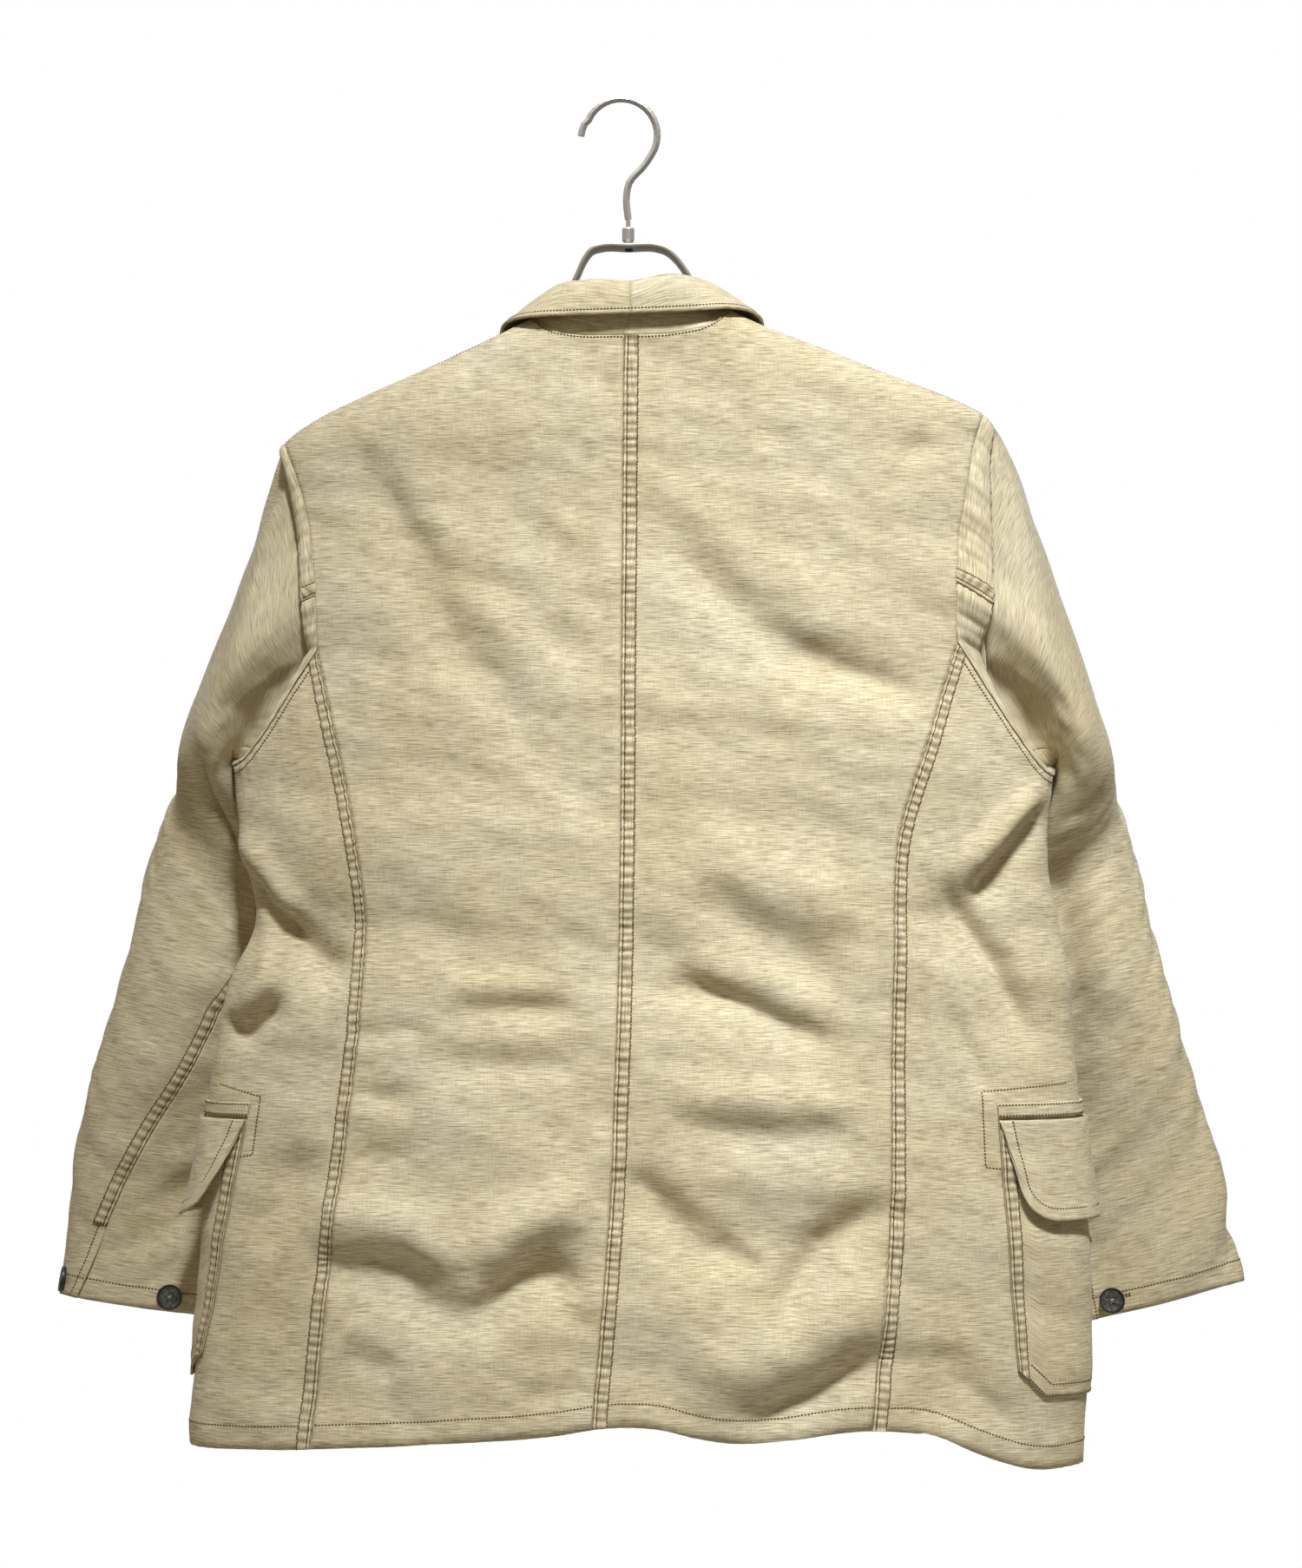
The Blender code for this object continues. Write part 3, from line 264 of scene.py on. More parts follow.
BACK_CREASES = [
    Fold(0.009, -0.0025, [(-0.194, -0.240), (-0.150, -0.301), (-0.117, -0.357)]),
    Fold(0.009, -0.0030, [(0.102, -0.378), (0.148, -0.403), (0.214, -0.429)]),
    Fold(0.007, -0.0015, [(0.126, -0.285), (0.163, -0.342)]),
    Fold(0.007, -0.0026, [(0.026, -0.619), (0.075, -0.636), (0.114, -0.654), (0.163, -0.672)]),
    Fold(0.007, -0.0014, [(-0.111, -0.644), (-0.071, -0.643), (-0.029, -0.641)]),
    Fold(0.009, -0.0028, [(-0.200, -0.660), (-0.169, -0.661), (-0.132, -0.658)]),
    Fold(0.009, -0.0028, [(-0.200, -0.705), (-0.169, -0.707), (-0.133, -0.702)]),
    Fold(0.009, -0.0028, [(-0.200, -0.750), (-0.166, -0.749), (-0.133, -0.745)]),
    Fold(0.008, -0.0032, [(-0.193, -0.812), (-0.150, -0.821), (-0.120, -0.841), (-0.107, -0.860)]),
    Fold(0.008, -0.0032, [(-0.107, -0.860), (-0.084, -0.839), (-0.058, -0.816), (-0.038, -0.824)]),
    Fold(0.008, -0.0032, [(0.059, -0.804), (0.102, -0.831)]),
    Fold(0.008, -0.0034, [(0.177, -0.878), (0.135, -0.906), (0.093, -0.924)]),
    Fold(0.010, -0.0042, [(-0.202, -0.862), (-0.160, -0.847)]),
    Fold(0.012, -0.0052, [(-0.202, -0.883), (-0.153, -0.904)]),
    Fold(0.009, -0.0032, [(-0.062, -0.848), (-0.014, -0.870)]),
    Fold(0.009, -0.0030, [(-0.077, -0.914), (-0.014, -0.911)]),
    Fold(0.009, -0.0026, [(0.190, -0.261), (0.221, -0.243)]),
    Fold(0.010, 0.0115, [(-0.274, -0.515), (-0.250, -0.552), (-0.222, -0.592)]),
    Fold(0.008, -0.0080, [(-0.272, -0.540), (-0.250, -0.570), (-0.228, -0.600)]),
    Fold(0.016, -0.0170, [(-0.262, -0.578), (-0.238, -0.594), (-0.215, -0.612), (-0.190, -0.632)]),
    Fold(0.010, 0.0115, [(-0.254, -0.560), (-0.246, -0.604), (-0.249, -0.625), (-0.262, -0.643),
                         (-0.285, -0.652)]),
    Fold(0.010, -0.0115, [(-0.290, -0.655), (-0.265, -0.662), (-0.250, -0.648), (-0.240, -0.630)]),
    Fold(0.008, 0.0085, [(0.300, -0.482), (0.232, -0.561)]),
    Fold(0.010, -0.0085, [(0.304, -0.496), (0.240, -0.575)]),
    Fold(0.009, -0.0080, [(0.215, -0.545), (0.263, -0.614), (0.294, -0.684)]),
    Fold(0.008, -0.0055, [(0.232, -0.645), (0.258, -0.708)]),
    Fold(0.010, -0.0050, [(0.228, -0.894), (0.280, -0.944)]),
]
SEAM_PUCKER = 0.00045
SEAM_PUCKER_PITCH = 0.0085
SEAM_PUCKER_JITTER = 0.0028
SEAM_PUCKER_FADE = 0.013
FOLD_FADE = 0.30
EDGE_POWER = 4
ROUND_POWER = 3
CREST_SPARE = 1.5
FEWEST_CRESTS = 4
RUMPLE_WAVES = 34
RUMPLE_LENGTHS = (0.018, 0.150)
RUMPLE_STEEPNESS = 0.0042
RUMPLE_WAY = (math.radians(65), math.radians(26))
RUMPLE_SEED = 11


def fold_height(folds, x, z):
    """Sum of soft ridges and troughs, each along a path and fading to its ends, at places (x, z)."""
    total = np.zeros(np.shape(x))
    for fold in folds:
        path = np.array(fold.path)
        run = lengths(path)
        nearest = np.full(np.shape(x), np.inf)
        share = np.zeros(np.shape(x))
        for start, way, begun in zip(path, np.diff(path, axis=0), run):
            part = np.clip(((x - start[0]) * way[0] + (z - start[1]) * way[1]) / (way @ way), 0, 1)
            gap = (x - start[0] - part * way[0]) ** 2 + (z - start[1] - part * way[1]) ** 2
            share = np.where(gap < nearest, (begun + part * np.linalg.norm(way)) / run[-1], share)
            nearest = np.minimum(nearest, gap)
        fade = eased(share / FOLD_FADE) * eased((1 - share) / FOLD_FADE)
        total += fold.height * fade * np.exp(-nearest / fold.width**2)
    return total


def rumple(x, z):
    """Soft unevenness: a sum of waves of many lengths, most with crests that fall to the right."""
    chance = np.random.default_rng(RUMPLE_SEED)
    total = np.zeros(np.shape(x))
    for length in np.geomspace(*RUMPLE_LENGTHS, RUMPLE_WAVES):
        way = chance.normal(*RUMPLE_WAY)
        start = chance.uniform(0, FULL_TURN)
        across = x * math.cos(way) + z * math.sin(way)
        total += RUMPLE_STEEPNESS * length * np.sin(FULL_TURN * across / length + start)
    return total


def body_point(turn, z):
    """Points of the hung body with its folds, creases and unevenness."""
    points, outward, reach = bare_body(turn, z)
    x = points[..., 0]
    left, right, _, _ = body_at(z)
    fade = 1 - ((2 * x - left - right) / (right - left)) ** EDGE_POWER
    behind = np.cos(turn) > 0
    large = np.where(behind, fold_height(BACK_FOLDS, x, z), fold_height(FRONT_FOLDS, x, z))
    small = np.where(behind, fold_height(BACK_CREASES, x, z), 0) + rumple(x, z)
    rounded = 1 - (1 - reach) ** ROUND_POWER
    height = np.clip(fade, 0, 1) * large
    points = points + outward * (small * rounded)[..., None]
    points[..., 1] += np.where(behind, -height, height)
    return points


def uneven_wave(run, pitch, jitter, seed):
    """A wave between -1 and 1 along a run, with crests at uneven steps."""
    chance = np.random.default_rng(seed)
    count = int(np.max(run) / pitch * CREST_SPARE) + FEWEST_CRESTS
    crests = np.cumsum(pitch + chance.uniform(-jitter, jitter, count)) - pitch
    return np.cos(np.interp(run, crests, FULL_TURN * np.arange(count)))


def seam_puckers(points, edges, seed):
    """Heights of small puckers that run into a grid from the named edges."""
    across = runs_across(points)
    down = runs_across(turned(points)).T
    away_from = {
        "first": (across, down),
        "last": (across[:, -1:] - across, down),
        "top": (down, across),
        "foot": (down[-1:] - down, across),
    }
    total = np.zeros(across.shape)
    for number, name in enumerate(edges):
        distance, run = away_from[name]
        wave = uneven_wave(run, SEAM_PUCKER_PITCH, SEAM_PUCKER_JITTER, seed + number)
        total += SEAM_PUCKER * wave * np.exp(-distance / SEAM_PUCKER_FADE)
    return total


def on_face(flat, face):
    """Body points of places (x, z) on the back or the front."""
    x, z = flat[..., 0], flat[..., 1]
    return body_point(turn_at(x, z, face), z)


# %% [markdown]
# ## The cotton
# The cloth is a heavy, slubby cotton: uneven weft threads run across it as short streaks, and
# wear has left pale and yellowish patches. A node group reads each piece's cut in metres from
# its UV map and gives the shade of the threads, the patches and a height.

# %% The cotton
CUT_MAP = "cut"
# Each layer of the weave is noise, with scales across and down the cut and a depth of detail
NoiseLayer = namedtuple("NoiseLayer", "across down detail")
WEFT = NoiseLayer(70, 1300, 3)
SLUBS = NoiseLayer(60, 900, 1)
WARP = NoiseLayer(1300, 90, 2)
PATCHES = NoiseLayer(11, 9, 4)
NOISE_ROUGHNESS = 0.55
SLUB_RANGE = (0.60, 0.74)
THREAD_RANGE = (0.46, 0.78)
PATCH_RANGE = (0.30, 0.70)
WARP_SHARE = 0.25
SLUB_SHARE = 0.26
COTTON_LOOK = {"Roughness": 0.92, "Specular IOR Level": 0.18, "Sheen Weight": 0.12, "Sheen Roughness": 0.5}
COTTON_DARK = (0.39, 0.335, 0.215)
COTTON_LIGHT = (0.74, 0.665, 0.485)
COTTON_STAIN = (0.95, 0.91, 0.81)
# Where the painted attribute is above 0 the cloth is paled, for wear and for a painted highlight on pucker
# crests; below 0 it is darkened with painted shade
WORN_AND_HIGHLIGHT_COLOUR = (1.0, 0.96, 0.84)
WORN_AND_HIGHLIGHT_SHARE = 0.18
SEAM_SHADE_COLOUR = (0.30, 0.22, 0.11)
SEAM_SHADE_SHARE = 0.9
WEAVE_RELIEF = 0.35
WEAVE_DEPTH = 0.0004


def node(tree, kind, **values):
    """A node of the given kind with its properties and input defaults set."""
    made = tree.nodes.new(kind)
    for name, value in values.items():
        if name in made.inputs:
            made.inputs[name].default_value = value
        else:
            setattr(made, name, value)
    return made


def feed(tree, socket, value):
    """Gives a socket a link, a colour or a number."""
    if isinstance(value, bpy.types.NodeSocket):
        tree.links.new(value, socket)
    elif isinstance(value, tuple):
        socket.default_value = (*value, 1)
    else:
        socket.default_value = value


def streaks(tree, cut, layer):
    """Noise stretched by a layer's own scales across and down the cut."""
    stretched = node(tree, "ShaderNodeVectorMath", operation="MULTIPLY")
    stretched.inputs[1].default_value = (layer.across, layer.down, 1)
    tree.links.new(cut, stretched.inputs[0])
    noise = node(tree, "ShaderNodeTexNoise", Scale=1.0, Detail=layer.detail, Roughness=NOISE_ROUGHNESS)
    tree.links.new(stretched.outputs[0], noise.inputs["Vector"])
    return noise.outputs["Fac"]


def ranged(tree, value, low, high, to_low, to_high):
    """The value moved from one range to another, clamped."""
    made = node(tree, "ShaderNodeMapRange")
    for place, number in zip((1, 2, 3, 4), (low, high, to_low, to_high)):
        made.inputs[place].default_value = number
    tree.links.new(value, made.inputs[0])
    return made.outputs[0]


def combined(tree, operation, first, second):
    """One sum, product or other operation on two values."""
    made = node(tree, "ShaderNodeMath", operation=operation)
    feed(tree, made.inputs[0], first)
    feed(tree, made.inputs[1], second)
    return made.outputs[0]


def slub_weave():
    """Node group: cut coordinates in metres to a thread shade, a patch shade and a height."""
    tree = bpy.data.node_groups.new("slub_weave", "ShaderNodeTree")
    tree.interface.new_socket("Cut", in_out="INPUT", socket_type="NodeSocketVector")
    for name in ("Threads", "Patches", "Height"):
        tree.interface.new_socket(name, in_out="OUTPUT", socket_type="NodeSocketFloat")
    inside = node(tree, "NodeGroupInput")
    outside = node(tree, "NodeGroupOutput")
    cut = inside.outputs["Cut"]
    weft, slubs, warp, patches = (streaks(tree, cut, layer) for layer in (WEFT, SLUBS, WARP, PATCHES))
    thick = ranged(tree, slubs, *SLUB_RANGE, 0, 1)
    threads = combined(tree, "ADD", weft, combined(tree, "MULTIPLY", warp, WARP_SHARE))
    threads = combined(tree, "SUBTRACT", threads, combined(tree, "MULTIPLY", thick, SLUB_SHARE))
    tree.links.new(ranged(tree, threads, *THREAD_RANGE, 0, 1), outside.inputs["Threads"])
    tree.links.new(ranged(tree, patches, *PATCH_RANGE, 0, 1), outside.inputs["Patches"])
    tree.links.new(combined(tree, "ADD", weft, thick), outside.inputs["Height"])
    return tree


def blended(tree, share, first, second, kind="MIX"):
    """Two colours mixed by a share."""
    made = node(tree, "ShaderNodeMix", data_type="RGBA", blend_type=kind)
    for name, value in (("Factor", share), ("A", first), ("B", second)):
        feed(tree, [socket for socket in made.inputs if socket.name == name and socket.enabled][0], value)
    return [socket for socket in made.outputs if socket.enabled][0]


def new_material(name, look):
    """A new material with these inputs of its shader set."""
    material = bpy.data.materials.new(name)
    material.use_nodes = True
    for socket, value in look.items():
        material.node_tree.nodes["Principled BSDF"].inputs[socket].default_value = value
    return material


def plain_material(name, colour, metallic, roughness):
    """A material of one colour."""
    return new_material(name, {"Base Color": (*colour, 1), "Metallic": metallic, "Roughness": roughness})


def cotton_material():
    """Slubby cotton, paled by wear and by a painted highlight on pucker crests, with painted shade in its
    seams.
    """
    material = new_material("khaki_cotton", COTTON_LOOK)
    tree = material.node_tree
    shader = tree.nodes["Principled BSDF"]
    cut = node(tree, "ShaderNodeUVMap", uv_map=CUT_MAP)
    woven = node(tree, "ShaderNodeGroup", node_tree=slub_weave())
    tree.links.new(cut.outputs["UV"], woven.inputs["Cut"])
    wear_and_light_value = node(tree, "ShaderNodeAttribute", attribute_name="wear_and_light").outputs["Fac"]
    base = blended(tree, woven.outputs["Threads"], COTTON_DARK, COTTON_LIGHT)
    stained = blended(tree, woven.outputs["Patches"], base, COTTON_STAIN, "MULTIPLY")
    # The attribute pales the cloth for wear and painted highlight, and darkens it with painted shade
    lighter = blended(tree, ranged(tree, wear_and_light_value, 0, 1, 0, WORN_AND_HIGHLIGHT_SHARE), stained, WORN_AND_HIGHLIGHT_COLOUR, "SCREEN")
    colour = blended(tree, ranged(tree, wear_and_light_value, -1, 0, SEAM_SHADE_SHARE, 0), lighter, SEAM_SHADE_COLOUR, "MULTIPLY")
    tree.links.new(colour, shader.inputs["Base Color"])
    bump = node(tree, "ShaderNodeBump", Strength=WEAVE_RELIEF, Distance=WEAVE_DEPTH)
    tree.links.new(woven.outputs["Height"], bump.inputs["Height"])
    tree.links.new(bump.outputs["Normal"], shader.inputs["Normal"])
    return material


cotton = cotton_material()
print("material:", cotton.name)

# %% [markdown]
# ## From grid to cloth
# A grid primitive already has the right faces in rows and columns. Its vertices are moved onto
# the form row by row, its UV map is set to the piece's cut in metres, and a Solidify modifier
# gives the cloth its thickness outwards before it is applied.

# %% From grid to cloth
WELD = 0.00001
made_pieces = {}


def select_only(*pieces):
    """Deselects everything, then selects these pieces and makes the first one active."""
    bpy.ops.object.select_all(action="DESELECT")
    for piece in pieces:
        piece.select_set(True)
    if pieces:
        bpy.context.view_layer.objects.active = pieces[0]


def all_joined(pieces):
    """One object from several."""
    select_only(*pieces)
    bpy.ops.object.join()
    return bpy.context.object


def placed(name, data):
    """A new object in the scene."""
    made = bpy.data.objects.new(name, data)
    bpy.context.scene.collection.objects.link(made)
    return made


def add_modifier(piece, kind, **values):
    """A new modifier with its settings."""
    modifier = piece.modifiers.new(kind.lower(), kind)
    for name, value in values.items():
        setattr(modifier, name, value)


def apply_modifiers(piece):
    """Applies a piece's modifiers in order."""
    select_only(piece)
    for modifier in list(piece.modifiers):
        bpy.ops.object.modifier_apply(modifier=modifier.name)


def dress(piece, *materials):
    """Gives a piece these materials in place of its own."""
    piece.data.materials.clear()
    for material in materials:
        piece.data.materials.append(material)


def grid_sheet(name, points, cut):
    """An unsolidified sheet: a grid primitive with its vertices set on points."""
    rows, columns, _ = points.shape
    select_only()
    bpy.ops.mesh.primitive_grid_add(x_subdivisions=columns - 1, y_subdivisions=rows - 1, size=1)
    sheet = bpy.context.object
    sheet.name = name
    mesh = sheet.data
    mesh.name = name
    mesh.vertices.foreach_set("co", points.reshape(-1))
    corners = np.empty(len(mesh.loops), np.int32)
    mesh.loops.foreach_get("vertex_index", corners)
    layer = mesh.uv_layers.active or mesh.uv_layers.new()
    layer.name = CUT_MAP
    layer.data.foreach_set("uv", cut.reshape(-1, 2)[corners].reshape(-1).astype(np.float32))
    mesh.update()
    return sheet


def joined_sheets(sheets):
    """One object from sheets that share edges, their doubled points merged."""
    piece = all_joined(sheets)
    bpy.ops.object.mode_set(mode="EDIT")
    bpy.ops.mesh.select_all(action="SELECT")
    bpy.ops.mesh.remove_doubles(threshold=WELD)
    bpy.ops.object.mode_set(mode="OBJECT")
    return piece


def cloth(name, grids, thickness=CLOTH):
    """A piece of cloth from (points, cut) grids that share edges."""
    sheets = [grid_sheet(f"{name}.grid", points, cut) for points, cut in grids]
    piece = joined_sheets(sheets) if len(sheets) > 1 else sheets[0]
    piece.name = name
    add_modifier(piece, "SOLIDIFY", thickness=thickness, offset=1)
    apply_modifiers(piece)
    bpy.ops.object.shade_smooth()
    dress(piece, cotton)
    made_pieces[name] = piece
    print(name, len(piece.data.polygons), "faces")


def facing(points, cut, reverse):
    """The grid and its cut with columns turned so that its faces point outwards."""
    return (points[:, ::-1], cut[:, ::-1]) if reverse else (points, cut)


def cut_of(points, offset, level=False):
    """Cut coordinates of a grid in metres: across its rows, and down by run or by level height."""
    across = runs_across(points)
    down = -points[..., 2] if level else lengths(points[:, points.shape[1] // 2])[:, None]
    return np.stack([across, np.broadcast_to(down, across.shape)], axis=-1) + offset


# %% [markdown]
# ## Backs
# Two back panels meet in a centre seam and end at the armholes and the princess seams. Each is a
# patch between its own edges in the plane of the photo, set on the back of the form.

# %% Backs
CENTRE_BACK = [
    (0.0003, -0.1713), (-0.0012, -0.3635), (-0.0024, -0.5458), (-0.0060, -0.6977),
    (-0.0120, -0.8188), (-0.0217, -0.9325),
]
NECKLINE = {
    "left": [(0.0003, -0.1713), (-0.0301, -0.1712), (-0.0548, -0.1663)],
    "right": [(0.0003, -0.1713), (0.0367, -0.1698), (0.0642, -0.1626)],
}
NECK_POINT_Z = {"left": -0.1570, "right": -0.1515}
SHOULDER_TIP_Z = {"left": -0.2444, "right": -0.2238}
BACK_ARMHOLE = {
    "left": [(-0.2263, -0.2858), (-0.2192, -0.3223), (-0.2159, -0.3668), (-0.2152, -0.3933)],
    "right": [(0.2441, -0.2662), (0.2374, -0.3075), (0.2342, -0.3521), (0.2350, -0.3872)],
}
PRINCESS = {
    "left": [
        (-0.2152, -0.3933), (-0.1984, -0.4664), (-0.1864, -0.5273), (-0.1805, -0.5883),
        (-0.1840, -0.6492), (-0.1924, -0.7227), (-0.2030, -0.8077), (-0.2176, -0.9490),
    ],
    "right": [
        (0.2350, -0.3872), (0.2136, -0.4544), (0.1948, -0.5153), (0.1895, -0.6186),
        (0.1879, -0.7283), (0.1873, -0.7890), (0.1829, -0.8495), (0.1737, -0.9340),
    ],
}
HEM_BACK = [
    (-0.309, -0.955), (-0.241, -0.953), (-0.143, -0.949), (-0.047, -0.942), (-0.013, -0.937),
    (0.026, -0.938), (0.051, -0.944), (0.087, -0.948), (0.123, -0.945), (0.171, -0.939),
    (0.221, -0.942), (0.245, -0.953), (0.269, -0.963), (0.295, -0.970), (0.325, -0.968),
]
SIDE_SEED = {"left": 40, "right": 50}
HEM_FRONT = [(-0.309, -0.955), (-0.150, -0.954), (0.010, -0.953), (0.150, -0.957), (0.325, -0.968)]


def shoulder_line(side):
    """The shoulder seam from neck to tip, along the ridge of the body."""
    z = np.linspace(NECK_POINT_Z[side], SHOULDER_TIP_Z[side], SHOULDER_SAMPLES)
    edges = body_at(z)
    return spread(np.stack([edges[0] if side == "left" else edges[1], z], axis=-1), SHOULDER_COLUMNS)


def hem_z(x, face):
    table = np.array(HEM_BACK if face == "back" else HEM_FRONT)
    return smooth(table[:, 0], table[:, 1], np.clip(x, table[0, 0], table[-1, 0]))


def hem_line(start_x, end_x, face, count):
    x = np.linspace(start_x, end_x, count + 1)
    return np.stack([x, hem_z(x, face)], axis=-1)


def princess_line(side):
    line = spread(PRINCESS[side], LOWER_ROWS)
    line[-1, 1] = hem_z(line[-1, 0], "back")
    return line


def back_panel(side):
    shoulder = shoulder_line(side)
    neck = spread(NECKLINE[side] + [tuple(shoulder[0])], NECK_COLUMNS)
    armhole = spread([tuple(shoulder[-1])] + BACK_ARMHOLE[side], ARMHOLE_ROWS)
    princess = princess_line(side)
    centre = np.array(CENTRE_BACK)
    split = armhole[-1, 1]
    centre_z = joined(
        np.linspace(centre[0, 1], split, ARMHOLE_ROWS + 1),
        np.linspace(split, centre[-1, 1], LOWER_ROWS + 1),
    )
    centre_line = np.stack([smooth(-centre[:, 1], centre[:, 0], -centre_z), centre_z], axis=-1)
    hem = hem_line(centre_line[-1, 0], princess[-1, 0], "back", NECK_COLUMNS + SHOULDER_COLUMNS)
    centre_line[-1] = hem[0]
    flat = patch(joined(neck, shoulder), hem, centre_line, joined(armhole, princess))
    points = on_face(flat, "back")
    puckers = seam_puckers(points, ("first", "last", "top", "foot"), SIDE_SEED[side])
    points[..., 1] -= puckers
    points[0, NECK_COLUMNS:, 1] = RIDGE_Y
    return points


backs = {side: back_panel(side) for side in SIDES}
for number, side in enumerate(SIDES):
    cut = cut_of(backs[side], number, level=True)
    cloth(f"back_{side}.cloth", [facing(backs[side], cut, side == "right")])

# %% [markdown]
# ## Fronts and sides
# Each front runs from the princess seam round the side to the front edge, where the left one lies
# over the right. Nothing of it shows in the photo but the side, so the front is cut plainly.

# %% Fronts and sides
UNDERARM_Z = {"left": -0.4745, "right": -0.4815}
UNDERARM_BEND = np.array([0.26, 0.59])
FRONT_ARMHOLE = {
    "left": [(-0.2230, -0.2833), (-0.2140, -0.3250), (-0.2100, -0.3700), (-0.2110, -0.3980)],
    "right": [(0.2400, -0.2635), (0.2310, -0.3100), (0.2280, -0.3580), (0.2290, -0.3930)],
}
FRONT_LINE_HEM_X = {"left": -0.2050, "right": 0.2150}
CENTRE_FRONT_X = 0.010
FRONT_OVERLAP = 0.036
OVERLAP_LIFT = 0.0042
OVERLAP_START = 1.5
BREAK_Z = -0.415
FRONT_SEED_STEP = 5


def turns_and_heights(flat, face):
    return np.stack([turn_at(flat[:, 0], flat[:, 1], face), flat[:, 1]], axis=-1)


def front_edges(side):
    """Front armhole, and below it the line where the front turns into the side part."""
    shoulder = shoulder_line(side)
    armhole = spread([tuple(shoulder[-1])] + FRONT_ARMHOLE[side], ARMHOLE_ROWS)
    foot_x = FRONT_LINE_HEM_X[side]
    line = spread([tuple(armhole[-1]), (foot_x, hem_z(foot_x, "front"))], LOWER_ROWS)
    return armhole, line


def spread_by_turn(points, count):
    """A smooth run of (turn, z) places with even steps of turn."""
    points = np.asarray(points, float)
    way = np.sign(points[-1, 0] - points[0, 0])
    turn = np.linspace(points[0, 0], points[-1, 0], count + 1)
    return np.stack([turn, smooth(way * points[:, 0], points[:, 1], way * turn)], axis=-1)


def side_part(side):
    """The part of a front that goes round the side, as (turn, z)."""
    _, line = front_edges(side)
    start = turns_and_heights(princess_line(side), "back")
    end = turns_and_heights(line, "front")
    underarm = np.array([SIDES[side] * np.pi / 2, UNDERARM_Z[side]])
    near_back = start[0] + UNDERARM_BEND * (underarm - start[0])
    near_front = end[0] + UNDERARM_BEND * (underarm - end[0])
    top = spread_by_turn([start[0], near_back, underarm, near_front, end[0]], SIDE_COLUMNS)
    turn = np.linspace(start[-1, 0], end[-1, 0], SIDE_COLUMNS + 1)
    foot = body_point(turn, np.full(turn.shape, start[-1, 1]))
    face_share = (1 - np.cos(turn)) / 2
    foot_z = (1 - face_share) * hem_z(foot[:, 0], "back") + face_share * hem_z(foot[:, 0], "front")
    bottom = np.stack([turn, foot_z], axis=-1)
    bottom[0], bottom[-1] = start[-1], end[-1]
    return patch(top, bottom, start, end)


def puckered_side(side):
    """Points of the side part, puckered along the princess seam, the underarm and the hem."""
    points = body_point(side_places[side][..., 0], side_places[side][..., 1])
    puckers = seam_puckers(points, ("first", "top", "foot"), SIDE_SEED[side] + FRONT_SEED_STEP)
    share = np.linspace(0, 1, SIDE_COLUMNS + 1)
    return points - SIDES[side] * normals(points) * (puckers * (1 - share**EDGE_POWER))[..., None]


def overlap_lift(side, x):
    """The left front lies over the right one along the centre front."""
    if side == "right":
        return np.zeros(np.shape(x))
    return OVERLAP_LIFT * eased((x - CENTRE_FRONT_X) / FRONT_OVERLAP + OVERLAP_START)


def front_edge_x(side):
    return CENTRE_FRONT_X - SIDES[side] * FRONT_OVERLAP / 2


def front_panel(side):
    """The front from the line beside the armhole to its edge; the roll line is its upper edge."""
    shoulder = shoulder_line(side)
    armhole, line = front_edges(side)
    edge_x = front_edge_x(side)
    roll = spread([tuple(shoulder[0]), (edge_x, BREAK_Z)], ARMHOLE_ROWS)
    edge = spread([(edge_x, BREAK_Z), (edge_x, hem_z(edge_x, "front"))], LOWER_ROWS)
    hem = hem_line(line[-1, 0], edge_x, "front", SHOULDER_COLUMNS)
    flat = patch(shoulder[::-1], hem, joined(armhole, line), joined(roll, edge))
    points = on_face(flat, "front")
    points[..., 1] += overlap_lift(side, points[..., 0])
    points[0, :, 1] = RIDGE_Y
    return points


side_places = {side: side_part(side) for side in SIDES}
besides = {side: puckered_side(side) for side in SIDES}
fronts = {side: front_panel(side) for side in SIDES}
for number, side in enumerate(SIDES, start=2):
    parts = (besides[side], fronts[side])
    grids = [facing(part, cut_of(part, number, level=True), side == "right") for part in parts]
    cloth(f"front_{side}.cloth", grids)

# %% [markdown]
# ## Sleeves
# A two-piece sleeve grows out of the armhole's own points, turns down and toes forward. Each
# section is an oval set by its outer edge. The upper and under sleeve part at two seams, and the
# hind seam opens in a short vent above the cuff.

# %% Sleeves
SLEEVE_ROWS = 180
ROW_CROWDING = 1.6
# Share of the sleeve's length at each row, with rows crowded near the armhole
SLEEVE_ALONG = np.linspace(0, 1, SLEEVE_ROWS + 1) ** ROW_CROWDING
SleeveSection = namedtuple("SleeveSection", "along outer z y wide deep toe tilt twist")
SLEEVE = {
    "left": [
        SleeveSection(0.22, -0.3170, -0.470, 0.040, 0.0220, 0.060, 0, 30, 0),
        SleeveSection(0.36, -0.3385, -0.545, 0.071, 0.0470, 0.047, 25, 16, 22),
        SleeveSection(0.58, -0.3650, -0.652, 0.070, 0.0700, 0.038, 26, 12, 4),
        SleeveSection(0.80, -0.3995, -0.772, 0.078, 0.0710, 0.031, 22, 10, -20),
        SleeveSection(1.00, -0.4075, -0.870, 0.076, 0.0680, 0.028, 20, 10, -53),
    ],
    "right": [
        SleeveSection(0.22, 0.3480, -0.470, 0.040, 0.0220, 0.060, 0, 30, 0),
        SleeveSection(0.36, 0.3665, -0.545, 0.071, 0.0470, 0.047, 25, 16, 10),
        SleeveSection(0.58, 0.3920, -0.652, 0.070, 0.0700, 0.038, 26, 14, 28),
        SleeveSection(0.80, 0.4285, -0.772, 0.078, 0.0720, 0.031, 22, 15, 38),
        SleeveSection(1.00, 0.4495, -0.868, 0.076, 0.0700, 0.028, 20, 16, 43),
    ],
}
SLEEVE_START_GAP = 0.0004
UNDERARM_RISE = 0.0010
HIND_SHARE = 0.75
FORE_SHARE = 0.125
